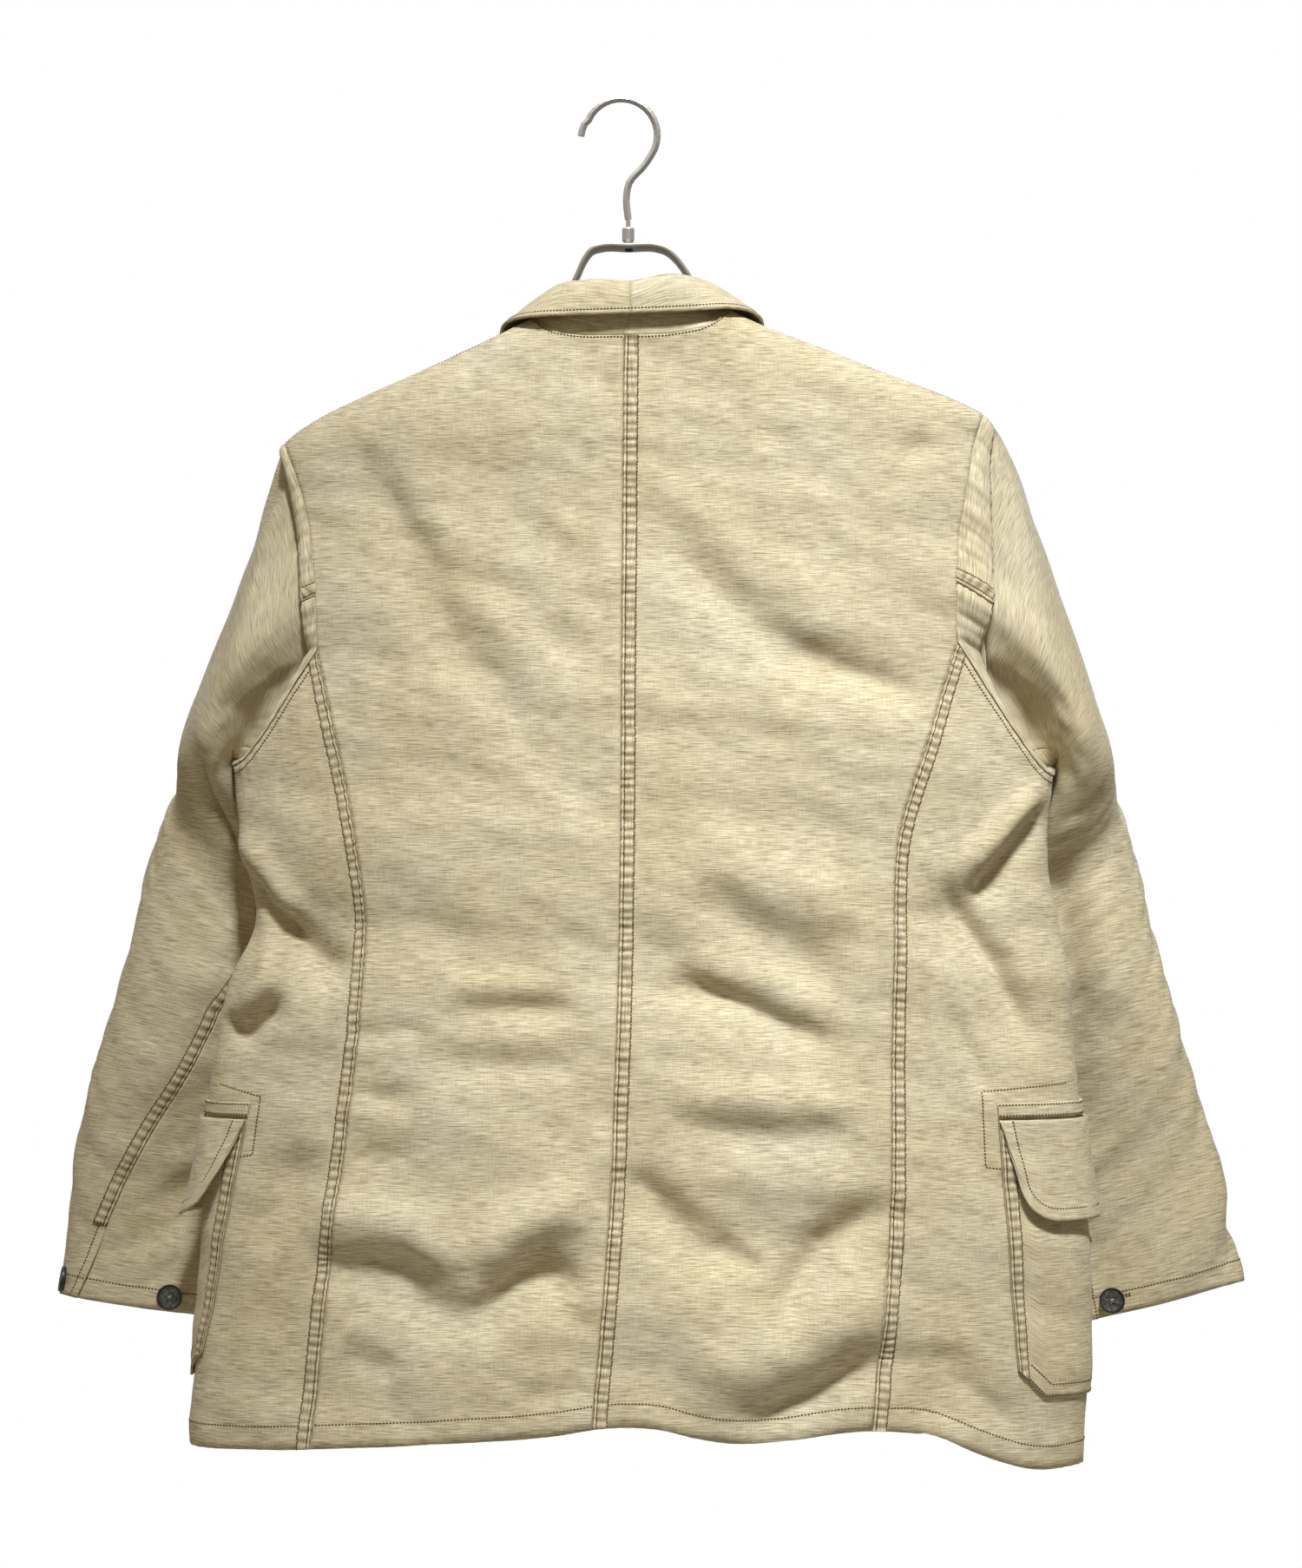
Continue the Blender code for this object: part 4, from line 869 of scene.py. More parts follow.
HIND_COLUMN = round(HIND_SHARE * ARMHOLE_ROWS)
FORE_COLUMN = ARMHOLE_ROWS + SIDE_COLUMNS + round(FORE_SHARE * ARMHOLE_ROWS)
VENT_HEIGHT = 0.070
VENT_OVERLAP = 0.001
VENT_LIFT = 0.0034
VENT_OPENS_OVER = 0.035
VENT_TURN = 0.020
HIND_TURN = math.radians(80)
UNDER_TURN = math.radians(120)
HeadLeaving = namedtuple("HeadLeaving", "share out forward up")
HEAD = {
    "left": [
        HeadLeaving(0.00, 0.20, 0.10, -0.60),
        HeadLeaving(0.12, 0.40, -0.02, -0.42),
        HeadLeaving(0.23, 0.48, -0.10, -0.25),
        HeadLeaving(0.31, 0.12, 0.40, 0.00),
        HeadLeaving(0.45, 0.10, 0.40, 0.00),
        HeadLeaving(0.58, 0.35, 0.15, -0.05),
        HeadLeaving(0.75, 0.45, 0.20, -0.30),
        HeadLeaving(1.00, 0.20, 0.10, -0.60),
    ],
    "right": [
        HeadLeaving(0.00, 0.50, 0.10, -0.48),
        HeadLeaving(0.12, 0.52, -0.02, -0.36),
        HeadLeaving(0.23, 0.52, -0.10, -0.25),
        HeadLeaving(0.31, 0.14, 0.40, 0.00),
        HeadLeaving(0.45, 0.10, 0.40, 0.00),
        HeadLeaving(0.58, 0.35, 0.15, -0.05),
        HeadLeaving(0.75, 0.45, 0.20, -0.30),
        HeadLeaving(1.00, 0.50, 0.10, -0.48),
    ],
}
SLEEVE_FOLDS = {
    "left": [
        Fold(0.024, -0.0140, [(0.092, -0.120), (0.094, -0.170), (0.086, -0.230), (0.080, -0.300)]),
        Fold(0.020, 0.0050, [(0.060, -0.300), (0.080, -0.480)]),
        Fold(0.018, -0.0060, [(0.110, -0.500), (0.180, -0.560)]),
        Fold(0.020, -0.0060, [(0.270, -0.200), (0.320, -0.330)]),
    ],
    "right": [
        Fold(0.020, -0.0110, [(0.072, -0.200), (0.062, -0.365), (0.083, -0.500)]),
        Fold(0.018, 0.0050, [(0.030, -0.240), (0.022, -0.400)]),
        Fold(0.018, -0.0050, [(0.110, -0.500), (0.180, -0.560)]),
        Fold(0.020, -0.0060, [(0.270, -0.200), (0.320, -0.330)]),
    ],
}
SLEEVE_GIRTH = 0.40
SLEEVE_RADIUS = SLEEVE_GIRTH / 6
SLEEVE_LENGTH = 0.63
HEAD_SHARE = 0.08
# Beside the back armhole a strip of the sleeve stands up and folds over: its width by the share
# of the way round the armhole, then the tuck behind the fold
HeadStrip = namedtuple("HeadStrip", "share width")
HEAD_STRIP = {
    "left": [
        HeadStrip(0.000, 0.0020),
        HeadStrip(0.020, 0.0050),
        HeadStrip(0.085, 0.0087),
        HeadStrip(0.235, 0.0105),
        HeadStrip(0.280, 0.0130),
        HeadStrip(0.320, 0.0150),
        HeadStrip(0.380, 0.0060),
        HeadStrip(0.430, 0.0010),
    ],
    "right": [
        HeadStrip(0.000, 0.0050),
        HeadStrip(0.030, 0.0090),
        HeadStrip(0.080, 0.0150),
        HeadStrip(0.157, 0.0250),
        HeadStrip(0.225, 0.0270),
        HeadStrip(0.340, 0.0230),
        HeadStrip(0.380, 0.0120),
        HeadStrip(0.430, 0.0010),
    ],
}
STRIP_FADE_IN = {"left": 0.03, "right": 0.10}
STRIP_FADE_OUT = 0.05
STRIP_PULL = 0.012
STRIP_DROP = 0.010
STRIP_EDGE = 0.005
STRIP_RECOVERY = 0.055
STRIP_BULGE = 0.0022
STRIP_PUCKER = 0.0007
STRIP_PUCKER_PITCH = 0.013
# Under the strip the hind seam slips round to the inside of the sleeve: degrees by distance down
SeamLead = namedtuple("SeamLead", "down turn")
SEAM_LEAD = {
    "left": [SeamLead(0.139, 75), SeamLead(0.227, 26), SeamLead(0.365, 0)],
    "right": [SeamLead(0.139, 75), SeamLead(0.227, 50), SeamLead(0.365, 0)],
}
SEAM_SLIP = 0.006
UNDER_SLIP = 0.080
UNDER_DROP = 0.0045
UNDER_EASE = math.radians(8)
OUTWARD_REACH = 9


def armhole_loop(side):
    """Points round the armhole: down the back from the shoulder tip, up the front."""
    back = backs[side][: ARMHOLE_ROWS + 1, -1]
    front = fronts[side][: ARMHOLE_ROWS + 1, 0][::-1]
    return joined(back, besides[side][0], front)[:-1]


def hind_lead(around):
    """How far each column follows the hind seam round: 1 at that seam, 0 at the outer edge."""
    before = np.sin(np.pi / 2 * np.clip(around / HIND_TURN, 0, 1))
    after = np.cos(np.pi / 2 * np.clip((around - HIND_TURN) / (FULL_TURN - HIND_TURN), 0, 1)) ** 2
    return np.where(around < HIND_TURN, before, after)


def sleeve_ring(section, side, around):
    """An oval section of the sleeve; around is 0 at its outer edge, a quarter turn at its back."""
    sign = SIDES[side]
    toe, tilt = math.radians(section.toe), math.radians(section.tilt)
    out = np.array([sign * math.cos(toe) * math.cos(tilt), -math.sin(toe), math.sin(tilt)])
    behind = np.array([-sign * math.sin(toe), -math.cos(toe), 0.0])
    centre = np.array([section.outer - section.wide * out[0], section.y, section.z])
    angle = (around + math.radians(section.twist))[:, None]
    return centre + section.wide * np.cos(angle) * out + section.deep * np.sin(angle) * behind


def head_direction(side, around):
    """Direction in which each column leaves the armhole, read from the table."""
    table = np.array(HEAD[side]) * (1, SIDES[side], 1, 1)
    return smooth(table[:, 0], table[:, 1:], around / FULL_TURN)


def strip_width(side, around):
    table = np.array(HEAD_STRIP[side])
    return np.interp(around / FULL_TURN, table[:, 0], table[:, 1])


def head_tuck(side, around, down):
    """For the strip beside the armhole: how far the cloth goes back under it, and its height."""
    width = strip_width(side, around)
    share = around / FULL_TURN
    last = HEAD_STRIP[side][-1].share
    weight = eased(share / STRIP_FADE_IN[side]) * eased((last - share) / STRIP_FADE_OUT)
    past = down[:, None] - width
    tuck = weight * eased(past / STRIP_EDGE) * np.exp(-((past / STRIP_RECOVERY) ** 2))
    bulge = weight * np.sin(np.pi * np.clip(down[:, None] / width, 0, 1))
    pucker = STRIP_PUCKER * np.sin(FULL_TURN * SLEEVE_GIRTH * share / STRIP_PUCKER_PITCH)
    return STRIP_PULL * tuck, (STRIP_BULGE + pucker) * bulge - STRIP_DROP * tuck


def seam_slip(side, around, down):
    """Turn by which each place follows the hind seam round to the inside."""
    table = np.array(SEAM_LEAD[side])
    turn = np.radians(np.interp(down, table[:, 0], table[:, 1]))[:, None]
    slip = np.interp(around, [HIND_TURN, UNDER_TURN], [SEAM_SLIP, UNDER_SLIP])
    begun = eased((down[:, None] - strip_width(side, around)) / slip)
    return turn * begun * hind_lead(around)


def under_drop(around, turn):
    """How far the under sleeve sinks where the hind seam has slipped round over it."""
    over = eased((turn[:, HIND_COLUMN : HIND_COLUMN + 1] - turn) / UNDER_EASE)
    return UNDER_DROP * over * (around > around[HIND_COLUMN])


def softened(ways):
    """Directions of a closed grid, each averaged with its neighbours round the grid."""
    steps = range(-OUTWARD_REACH, OUTWARD_REACH + 1)
    return units(sum(np.roll(ways, step, axis=1) for step in steps))


def read_grid(grid, rows, columns):
    """Values of a grid, closed round, at part rows and part columns."""
    row = np.clip(rows.astype(int), 0, len(grid) - 2)
    column = np.floor(columns).astype(int)
    row_part = (rows - row)[..., None]
    column_part = (columns - column)[..., None]
    here, beyond = column % grid.shape[1], (column + 1) % grid.shape[1]
    above = (1 - column_part) * grid[row, here] + column_part * grid[row, beyond]
    below = (1 - column_part) * grid[row + 1, here] + column_part * grid[row + 1, beyond]
    return (1 - row_part) * above + row_part * below


def turns_round(loop):
    """Turn of each point of a closed loop by its share of the way round."""
    steps = np.linalg.norm(np.roll(loop, -1, axis=0) - loop, axis=1)
    return FULL_TURN * np.concatenate([[0], np.cumsum(steps)[:-1]]) / steps.sum()


def bare_sleeve(side, loop, around):
    """Rings from armhole to cuff before any fold, and the ways out from them."""
    start = loop + (SIDES[side] * SLEEVE_START_GAP, 0, 0)
    start[:, 2] += UNDERARM_RISE * (1 - np.cos(around)) / 2
    sections = SLEEVE[side]
    rings = np.stack([start] + [sleeve_ring(section, side, around) for section in sections])
    knots = [0] + [section.along for section in sections]
    bare = smooth(knots, rings, SLEEVE_ALONG, first_slope=head_direction(side, around))
    closed = np.concatenate([bare[:, -1:], bare, bare[:, :1]], axis=1)
    return bare, softened(SIDES[side] * normals(closed)[:, 1:-1])


def sleeve(side):
    """Sleeve grid: a row per ring from armhole to cuff, a column per armhole point, closed round."""
    loop = armhole_loop(side)
    around = turns_round(loop)
    bare, bare_outward = bare_sleeve(side, loop, around)
    down = SLEEVE_LENGTH * SLEEVE_ALONG
    pulled, height = head_tuck(side, around, down)
    turn = around + seam_slip(side, around, down)
    place = np.clip(down[:, None] - pulled, 0, None)
    all_turns = np.concatenate([around, around + FULL_TURN])
    columns = np.interp(turn, all_turns, np.arange(len(all_turns)))
    rows = np.interp(place, down, np.arange(len(down)))
    points = read_grid(bare, rows, columns)
    outward = units(read_grid(bare_outward, rows, columns))
    loose = fold_height(SLEEVE_FOLDS[side], SLEEVE_GIRTH * turn / FULL_TURN, -place)
    loose += rumple(SLEEVE_RADIUS * np.cos(turn), SLEEVE_RADIUS * np.sin(turn) - place)
    height += loose * np.clip(place / (HEAD_SHARE * SLEEVE_LENGTH), 0, 1) - under_drop(around, turn)
    return points + outward * height[..., None], outward


def around_columns(points, first, last):
    """Columns first to last of a closed grid, going on past its end where last is over its count."""
    return points[:, np.arange(first, last + 1) % points.shape[1]]


def sleeve_pieces(side):
    points, outward = sleeve(side)
    count = points.shape[1]
    upper = around_columns(points, FORE_COLUMN, HIND_COLUMN + count)
    under = around_columns(points, HIND_COLUMN, FORE_COLUMN)
    upper_out = around_columns(outward, FORE_COLUMN, HIND_COLUMN + count)
    past_top = SLEEVE_LENGTH * (SLEEVE_ALONG - 1) + VENT_HEIGHT
    open_share = np.clip(past_top / VENT_OPENS_OVER, 0, 1)[:, None]
    inset = np.linalg.norm(upper - upper[:, -1:], axis=2)
    near = np.clip(1 - inset / VENT_TURN, 0, 1) ** 2
    over = units(under[:, 1] - under[:, 0])[:, None]
    lift = VENT_LIFT * upper_out + VENT_OVERLAP * over
    return upper + (open_share * near)[..., None] * lift, under


sleeves = {side: sleeve_pieces(side) for side in SIDES}
for number, side in enumerate(SIDES, start=4):
    for name, grid in zip(("upper_sleeve", "under_sleeve"), sleeves[side]):
        cloth(f"{name}_{side}.cloth", [facing(grid, cut_of(grid, number), side == "left")])

# %% [markdown]
# ## Collar
# The shawl collar stands on the neckline, rolls over and lies back down. Behind the neck its
# sections come from a table; on the hidden fronts they turn over the roll line as lapels.

# %% Collar
COLLAR_ROWS = 110
COLLAR_COLUMNS = 36
NeckSection = namedtuple("NeckSection", "share rise roll drop edge")
CENTRE_COLLAR = NeckSection(
    0.0, (0.0053, -0.0430, -0.1515), (0.0053, -0.0410, -0.1345), (0.0053, -0.0475, -0.1405),
    (0.0053, -0.0505, -0.1572),
)
COLLAR_BACK = {
    "left": [
        CENTRE_COLLAR,
        NeckSection(
            0.46, (-0.0292, -0.0415, -0.1510), (-0.0263, -0.0385, -0.1335),
            (-0.0301, -0.0450, -0.1395), (-0.0348, -0.0498, -0.1585),
        ),
        NeckSection(
            0.78, (-0.0510, -0.0300, -0.1515), (-0.0445, -0.0250, -0.1350),
            (-0.0510, -0.0320, -0.1410), (-0.0670, -0.0400, -0.1590),
        ),
        NeckSection(
            0.94, (-0.0640, -0.0065, -0.1530), (-0.0620, -0.0040, -0.1470),
            (-0.0695, -0.0080, -0.1508), (-0.0835, -0.0140, -0.1605),
        ),
    ],
    "right": [
        CENTRE_COLLAR,
        NeckSection(
            0.43, (0.0367, -0.0415, -0.1490), (0.0348, -0.0385, -0.1295),
            (0.0386, -0.0450, -0.1360), (0.0435, -0.0498, -0.1556),
        ),
        NeckSection(
            0.78, (0.0605, -0.0300, -0.1490), (0.0540, -0.0250, -0.1310),
            (0.0615, -0.0320, -0.1370), (0.0795, -0.0400, -0.1530),
        ),
        NeckSection(
            0.94, (0.0750, -0.0065, -0.1462), (0.0742, -0.0040, -0.1404),
            (0.0820, -0.0080, -0.1450), (0.0960, -0.0140, -0.1552),
        ),
    ],
}
LapelSection = namedtuple("LapelSection", "down width stand_off")
LAPEL = {
    "left": [
        LapelSection(0.16, 0.034, 0.0060),
        LapelSection(0.40, 0.058, 0.0055),
        LapelSection(0.66, 0.064, 0.0050),
        LapelSection(0.84, 0.044, 0.0048),
        LapelSection(0.95, 0.014, 0.0046),
    ],
    "right": [
        LapelSection(0.16, 0.034, 0.0060),
        LapelSection(0.36, 0.056, 0.0055),
        LapelSection(0.54, 0.060, 0.0050),
        LapelSection(0.66, 0.042, 0.0048),
        LapelSection(0.73, 0.016, 0.0046),
    ],
}
LAPEL_TURN = 0.0030
LAPEL_OVER = [(-0.7, 0.2), (-1.0, 0.5), (-0.8, 0.95)]
LAPEL_FLAT = [0.35, 1.0]


def lapel_sections(side):
    """Collar sections on the front: they turn over the roll line and lie on the panel."""
    sign = SIDES[side]
    neck = shoulder_line(side)[0]
    foot = np.array([front_edge_x(side), BREAK_Z])
    sections = []
    for lapel in LAPEL[side]:
        roll = neck + lapel.down * (foot - neck)
        over = overlap_lift(side, roll[0])
        places = []
        for share, rise in LAPEL_OVER:
            at = on_face(roll + (sign * share * LAPEL_TURN, 0), "front")
            places.append(at + (0, over + rise * lapel.stand_off, 0))
        for share in LAPEL_FLAT:
            at = on_face(roll + (sign * share * lapel.width, 0), "front")
            places.append(at + (0, overlap_lift(side, at[0]) + lapel.stand_off, 0))
        sections.append(places)
    return sections


def neck_sections(side):
    """Collar sections at the back of the neck, each standing on the neckline."""
    neck = backs[side][0, : NECK_COLUMNS + 1]
    shares = np.linspace(0, 1, NECK_COLUMNS + 1)
    sections = []
    for row in COLLAR_BACK[side]:
        seam = read_along(neck, shares, row.share)
        sections.append([seam, row.rise, row.roll, row.drop, row.edge])
    return sections


def collar_half(side):
    sections = np.array(neck_sections(side) + lapel_sections(side))
    lines = [spread(sections[:, k], COLLAR_ROWS) for k in range(sections.shape[1])]
    across = np.stack(lines, axis=1)
    return np.stack([spread(row, COLLAR_COLUMNS) for row in across])


collars = {side: collar_half(side) for side in SIDES}
for number, side in enumerate(SIDES, start=6):
    grid = facing(collars[side], cut_of(collars[side], number)[..., ::-1], side == "left")
    cloth(f"collar_{side}.cloth", [grid], COLLAR_CLOTH)

# %% [markdown]
# ## Pockets
# A patch pocket wraps each side. Its opening has a narrow welt and a flap whose loose corner
# curls away from the body. All three are laid on the side of the form and moved out.

# %% Pockets
POCKET_TOP = -0.7110
POCKET_LENGTH = 0.190
POCKET_BACK_X = {"left": (-0.262, -0.297), "right": (0.2625, 0.277)}
POCKET_FOOT = {"left": -0.908, "right": -0.918}
POCKET_WIDTH = 0.165
POCKET_CORNER = 0.020
POCKET_COLUMNS = 72
POCKET_CROWDING = 1.6
POCKET_ROWS = 64
POCKET_SEARCH = 2.2
POCKET_SEARCH_STEPS = 90
POCKET_STAND_OFF = 0.0026
WELT_HEIGHT = 0.010
WELT_GAP = 0.002
WELT_ROWS = 6
MOUTH_Z = POCKET_TOP - WELT_HEIGHT - WELT_GAP
FLAP_HEIGHT = 0.071
FLAP_CORNER = 0.027
FLAP_LEAN = 0.010
FLAP_ROWS = 30
FLAP_STAND_OFF = 0.0054
FLAP_FLARE = {"left": 0.014, "right": 0.006}
FLAP_CURL = 1.5


def pocket_turns(side, distance, z):
    """Turns of places this far round the side from the pocket's back edge."""
    share = np.clip((POCKET_TOP - z) / POCKET_LENGTH, 0, 1)
    back_x = (1 - share) * POCKET_BACK_X[side][0] + share * POCKET_BACK_X[side][1]
    past = np.linspace(0, POCKET_SEARCH, POCKET_SEARCH_STEPS)
    first = turn_at(back_x, z, "back")
    turns = first[..., None] + SIDES[side] * past
    run, _, _ = bare_body(turns, np.broadcast_to(z[..., None], turns.shape))
    steps = np.linalg.norm(np.diff(run, axis=-2), axis=-1)
    length = np.concatenate([np.zeros(z.shape + (1,)), np.cumsum(steps, axis=-1)], axis=-1)
    low = np.clip((length < distance[..., None]).sum(axis=-1) - 1, 0, POCKET_SEARCH_STEPS - 2)
    before = np.take_along_axis(length, low[..., None], axis=-1)[..., 0]
    after = np.take_along_axis(length, low[..., None] + 1, axis=-1)[..., 0]
    part = (distance - before) / (after - before)
    return first + SIDES[side] * (low + part) * POCKET_SEARCH / (POCKET_SEARCH_STEPS - 1)


def pocket_columns():
    """Distances of a pocket's columns from its back edge, crowded near that edge."""
    return POCKET_WIDTH * np.linspace(0, 1, POCKET_COLUMNS + 1) ** POCKET_CROWDING


def pocket_grid(side, top_z, foot_z, rows, lean=0):
    """Points and outward ways of a grid on the side; foot_z holds the lower end of each column."""
    share = np.linspace(0, 1, rows + 1)[:, None]
    z = top_z + share * (foot_z[None] - top_z)
    turns = pocket_turns(side, pocket_columns()[None] + share * lean, z)
    return body_point(turns, z), bare_body(turns, z)[1]


def cut_corner(foot, size):
    """Lower ends of the pocket's columns, its back corner cut off."""
    return foot + np.clip(size - pocket_columns(), 0, None)


def round_corner(foot, radius):
    """Lower ends of the flap's columns, its back corner rounded."""
    inside = np.clip(radius - pocket_columns(), 0, None)
    return foot + radius - np.sqrt(radius**2 - inside**2)


def pocket_patch(side):
    foot = cut_corner(POCKET_FOOT[side], POCKET_CORNER)
    points, outward = pocket_grid(side, MOUTH_Z, foot, POCKET_ROWS)
    return points + POCKET_STAND_OFF * outward


def welt(side):
    points, outward = pocket_grid(side, POCKET_TOP, cut_corner(POCKET_TOP - WELT_HEIGHT, 0), WELT_ROWS)
    return points + POCKET_STAND_OFF * outward


def flap(side):
    foot = round_corner(MOUTH_Z - FLAP_HEIGHT, FLAP_CORNER)
    points, outward = pocket_grid(side, MOUTH_Z, foot, FLAP_ROWS, FLAP_LEAN)
    share = np.linspace(0, 1, FLAP_ROWS + 1)[:, None, None]
    return points + (FLAP_STAND_OFF + FLAP_FLARE[side] * share**FLAP_CURL) * outward


trims = {
    (name, side): make(side)
    for side in SIDES
    for name, make in (("pocket", pocket_patch), ("pocket_welt", welt), ("pocket_flap", flap))
}
for number, ((name, side), grid) in enumerate(trims.items(), start=8):
    cloth(f"{name}_{side}.cloth", [facing(grid, cut_of(grid, number), side == "right")])

# %% [markdown]
# ## Felled seams
# The centre back, princess and hind sleeve seams are felled: one edge is folded over the other
# and sewn down in two rows, as is the turned edge of each pocket. Washing has shrunk the thread,
# so the band between the rows puckers like a ladder. Each band is a ribbon taken from its panel's
# own points and moved out. A painted attribute holds wear and painted light: pale wear on the fold,
# pale pucker crests (wear and painted highlight), painted shade between the puckers and in the
# stitch rows, and a painted shadow along the edge.

# %% Felled seams
BAND_WIDTH = 0.0115
BAND_STEP = 0.0011
BAND_ACROSS = 12
BAND_LIFT = 0.0006
BAND_TUCK = 0.0001
BAND_EDGE = (0, 1)
BAND_FOLD = (2,)
BAND_ROWS = (3, 10)
BAND_ENDS = (-1, -2, -3)
PUCKER_PITCH = 0.0064
PUCKER_JITTER = 0.0016
PUCKER_HEIGHT = 0.0009
ROW_GROOVE = 0.0004
BAND_ROUNDING = 0.35
# Painted light on the bands: crests paled (wear and painted highlight), painted shade between the puckers,
# a painted shadow along the edge; the fold is paled by wear
LADDER_RANGE = 0.9
LADDER_SHADE = 0.6
EDGE_SHADOW = 0.7
FOLD_PALE = 0.6
BELOW_STRIP = 0.16


def from_edge(grid, distances):
    """Points of each row of a grid at the given distances from its first column."""
    return np.stack([read_run(row, np.asarray(distances)) for row in grid])


def stepped(grid, step):
    """The grid read again at even steps down its first column."""
    run = lengths(grid[:, 0])
    rows = np.interp(np.arange(0, run[-1], step), run, np.arange(len(run)))
    low = np.clip(rows.astype(int), 0, len(grid) - 2)
    part = (rows - low)[:, None, None]
    return (1 - part) * grid[low] + part * grid[low + 1]


def faced(points, cut, outward):
    """The grid with its columns turned so that its faces look outward."""
    square = np.cross(points[:-1, 1:] - points[:-1, :-1], points[1:, :-1] - points[:-1, :-1])
    return facing(points, cut, np.sum(square * outward[:-1, :-1]) < 0)


def paint_wear_and_light(sheet, wear_and_light):
    """Keeps one value of wear and painted light for each vertex of a sheet."""
    layer = sheet.data.attributes.new("wear_and_light", "FLOAT", "POINT")
    layer.data.foreach_set("value", wear_and_light.reshape(-1).astype(np.float32))


def band_columns(chosen):
    """One row of a band with 1 in the chosen columns and 0 in the others."""
    return np.isin(np.arange(BAND_ACROSS), chosen).astype(float)[None]


def band_wave(flat, seed):
    """How far along its seam each place of a band lies, and a wave of puckers, 0 to 1, that way."""
    seam_way = units(np.gradient(flat[:, 0], axis=0))[:, None]
    run = lengths(flat[:, 0])[:, None] + np.sum((flat - flat[:, :1]) * seam_way, axis=-1)
    return run, 0.5 + 0.5 * uneven_wave(run, PUCKER_PITCH, PUCKER_JITTER, seed)


def felled_band(name, panel, sign, seed):
    """A puckered ribbon along the first column of a panel; gives its sheet, points and ways out."""
    flat = stepped(from_edge(panel, np.linspace(0, BAND_WIDTH, BAND_ACROSS)), BAND_STEP)
    outward = sign * normals(flat)
    share = np.linspace(0, 1, BAND_ACROSS)[None]
    run, wave = band_wave(flat, seed)
    bulge = np.sin(np.pi * share) ** BAND_ROUNDING
    edge, fold, groove = (band_columns(chosen) for chosen in (BAND_EDGE, BAND_FOLD, BAND_ROWS))
    height = CLOTH - BAND_TUCK + bulge * (BAND_LIFT + PUCKER_HEIGHT * wave) - ROW_GROOVE * groove
    points = flat + outward * height[..., None]
    cut = np.stack([run + seed, np.broadcast_to(share * BAND_WIDTH, run.shape)], axis=-1)
    turned_points, turned_cut = faced(points, cut, outward)
    sheet = grid_sheet(name, turned_points, turned_cut)
    # Pale crests (wear and painted highlight), painted shade between the puckers and in the stitch rows,
    # painted shadow along the edge, pale wear on the fold
    ladder = bulge * (LADDER_RANGE * wave - LADDER_SHADE) * (1 - fold)
    wear_and_light = ladder - groove - EDGE_SHADOW * edge + FOLD_PALE * fold
    paint_wear_and_light(sheet, wear_and_light if turned_points is points else wear_and_light[:, ::-1])
    bpy.ops.object.shade_smooth()
    dress(sheet, cotton)
    return sheet, points, outward


def strip_rows(side):
    """Rows of the sleeve that lie on the strip where the hind seam crosses it."""
    return int(np.searchsorted(SLEEVE_LENGTH * SLEEVE_ALONG, strip_width(side, HIND_TURN)))


below_strip_row = int(np.searchsorted(SLEEVE_LENGTH * SLEEVE_ALONG, BELOW_STRIP))
vent_top_row = int(np.searchsorted(SLEEVE_ALONG, 1 - VENT_HEIGHT / SLEEVE_LENGTH))
felled = {"centre_back_band": (backs["right"], -SIDES["right"])}
for side in SIDES:
    felled[f"princess_band_{side}"] = (besides[side], -SIDES[side])
    hind = sleeves[side][0][:, ::-1]
    felled[f"hind_strip_{side}"] = (hind[: strip_rows(side)], -SIDES[side])
    felled[f"hind_band_{side}"] = (hind[below_strip_row:vent_top_row], -SIDES[side])
    felled[f"pocket_band_{side}"] = (trims[("pocket", side)], -SIDES[side])
bands = {}
band_rows = {}
band_ends = {}
for number, (name, (panel, sign)) in enumerate(felled.items(), start=20):
    bands[name], points, outward = felled_band(name, panel, sign, number)
    band_rows[name] = [(points[:, column], outward[:, column]) for column in BAND_ROWS]
    band_ends[name] = [(points[row], outward[row]) for row in BAND_ENDS]
    print(name, len(bands[name].data.polygons), "faces")

# %% [markdown]
# ## Stitches
# A dark brown thread shows in rows of short stitches. One stitch is a small boat shape of a few
# faces; copies are set along each row with the cloth's own directions and joined in one mesh.

# %% Stitches
STITCH_PITCH = 0.0024
STITCH_LENGTH = 0.0020
STITCH_WIDTH = 0.0013
STITCH_HEIGHT = 0.0005
STITCH_FORM = [
    (-0.50, 0.0, 0.0), (-0.25, -0.5, 0.0), (-0.25, 0.0, 1.0), (-0.25, 0.5, 0.0),
    (0.25, -0.5, 0.0), (0.25, 0.0, 1.0), (0.25, 0.5, 0.0), (0.50, 0.0, 0.0),
]
STITCH_TRIANGLES = [(0, 1, 2), (0, 2, 3), (4, 7, 5), (5, 7, 6), (0, 3, 1), (4, 6, 7)]
STITCH_QUADS = [(1, 4, 5, 2), (2, 5, 6, 3), (1, 3, 6, 4)]
thread = plain_material("brown_thread", (0.13, 0.08, 0.03), 0.0, 0.9)


def row_along(grid, distance, sign, lift=CLOTH):
    """A run of places this far from a grid's first column, with their outward directions."""
    near = from_edge(grid, [distance, distance + STITCH_WIDTH])
    outward = sign * normals(near)[:, 0]
    return near[:, 0] + lift * outward, outward


def stitch_forms(run, outward):
    """Points of every stitch along one row."""
    length = lengths(run)
    at = np.arange(STITCH_PITCH / 2, length[-1], STITCH_PITCH)
    ahead = units(read_run(run, at + STITCH_LENGTH / 2) - read_run(run, at - STITCH_LENGTH / 2))
    up = units(read_along(outward, length, at))
    axes = np.stack([ahead, units(np.cross(up, ahead)), up], axis=1)
    form = np.array(STITCH_FORM) * (STITCH_LENGTH, STITCH_WIDTH, STITCH_HEIGHT)
    return read_run(run, at)[:, None] + np.einsum("pk,nkd->npd", form, axes)


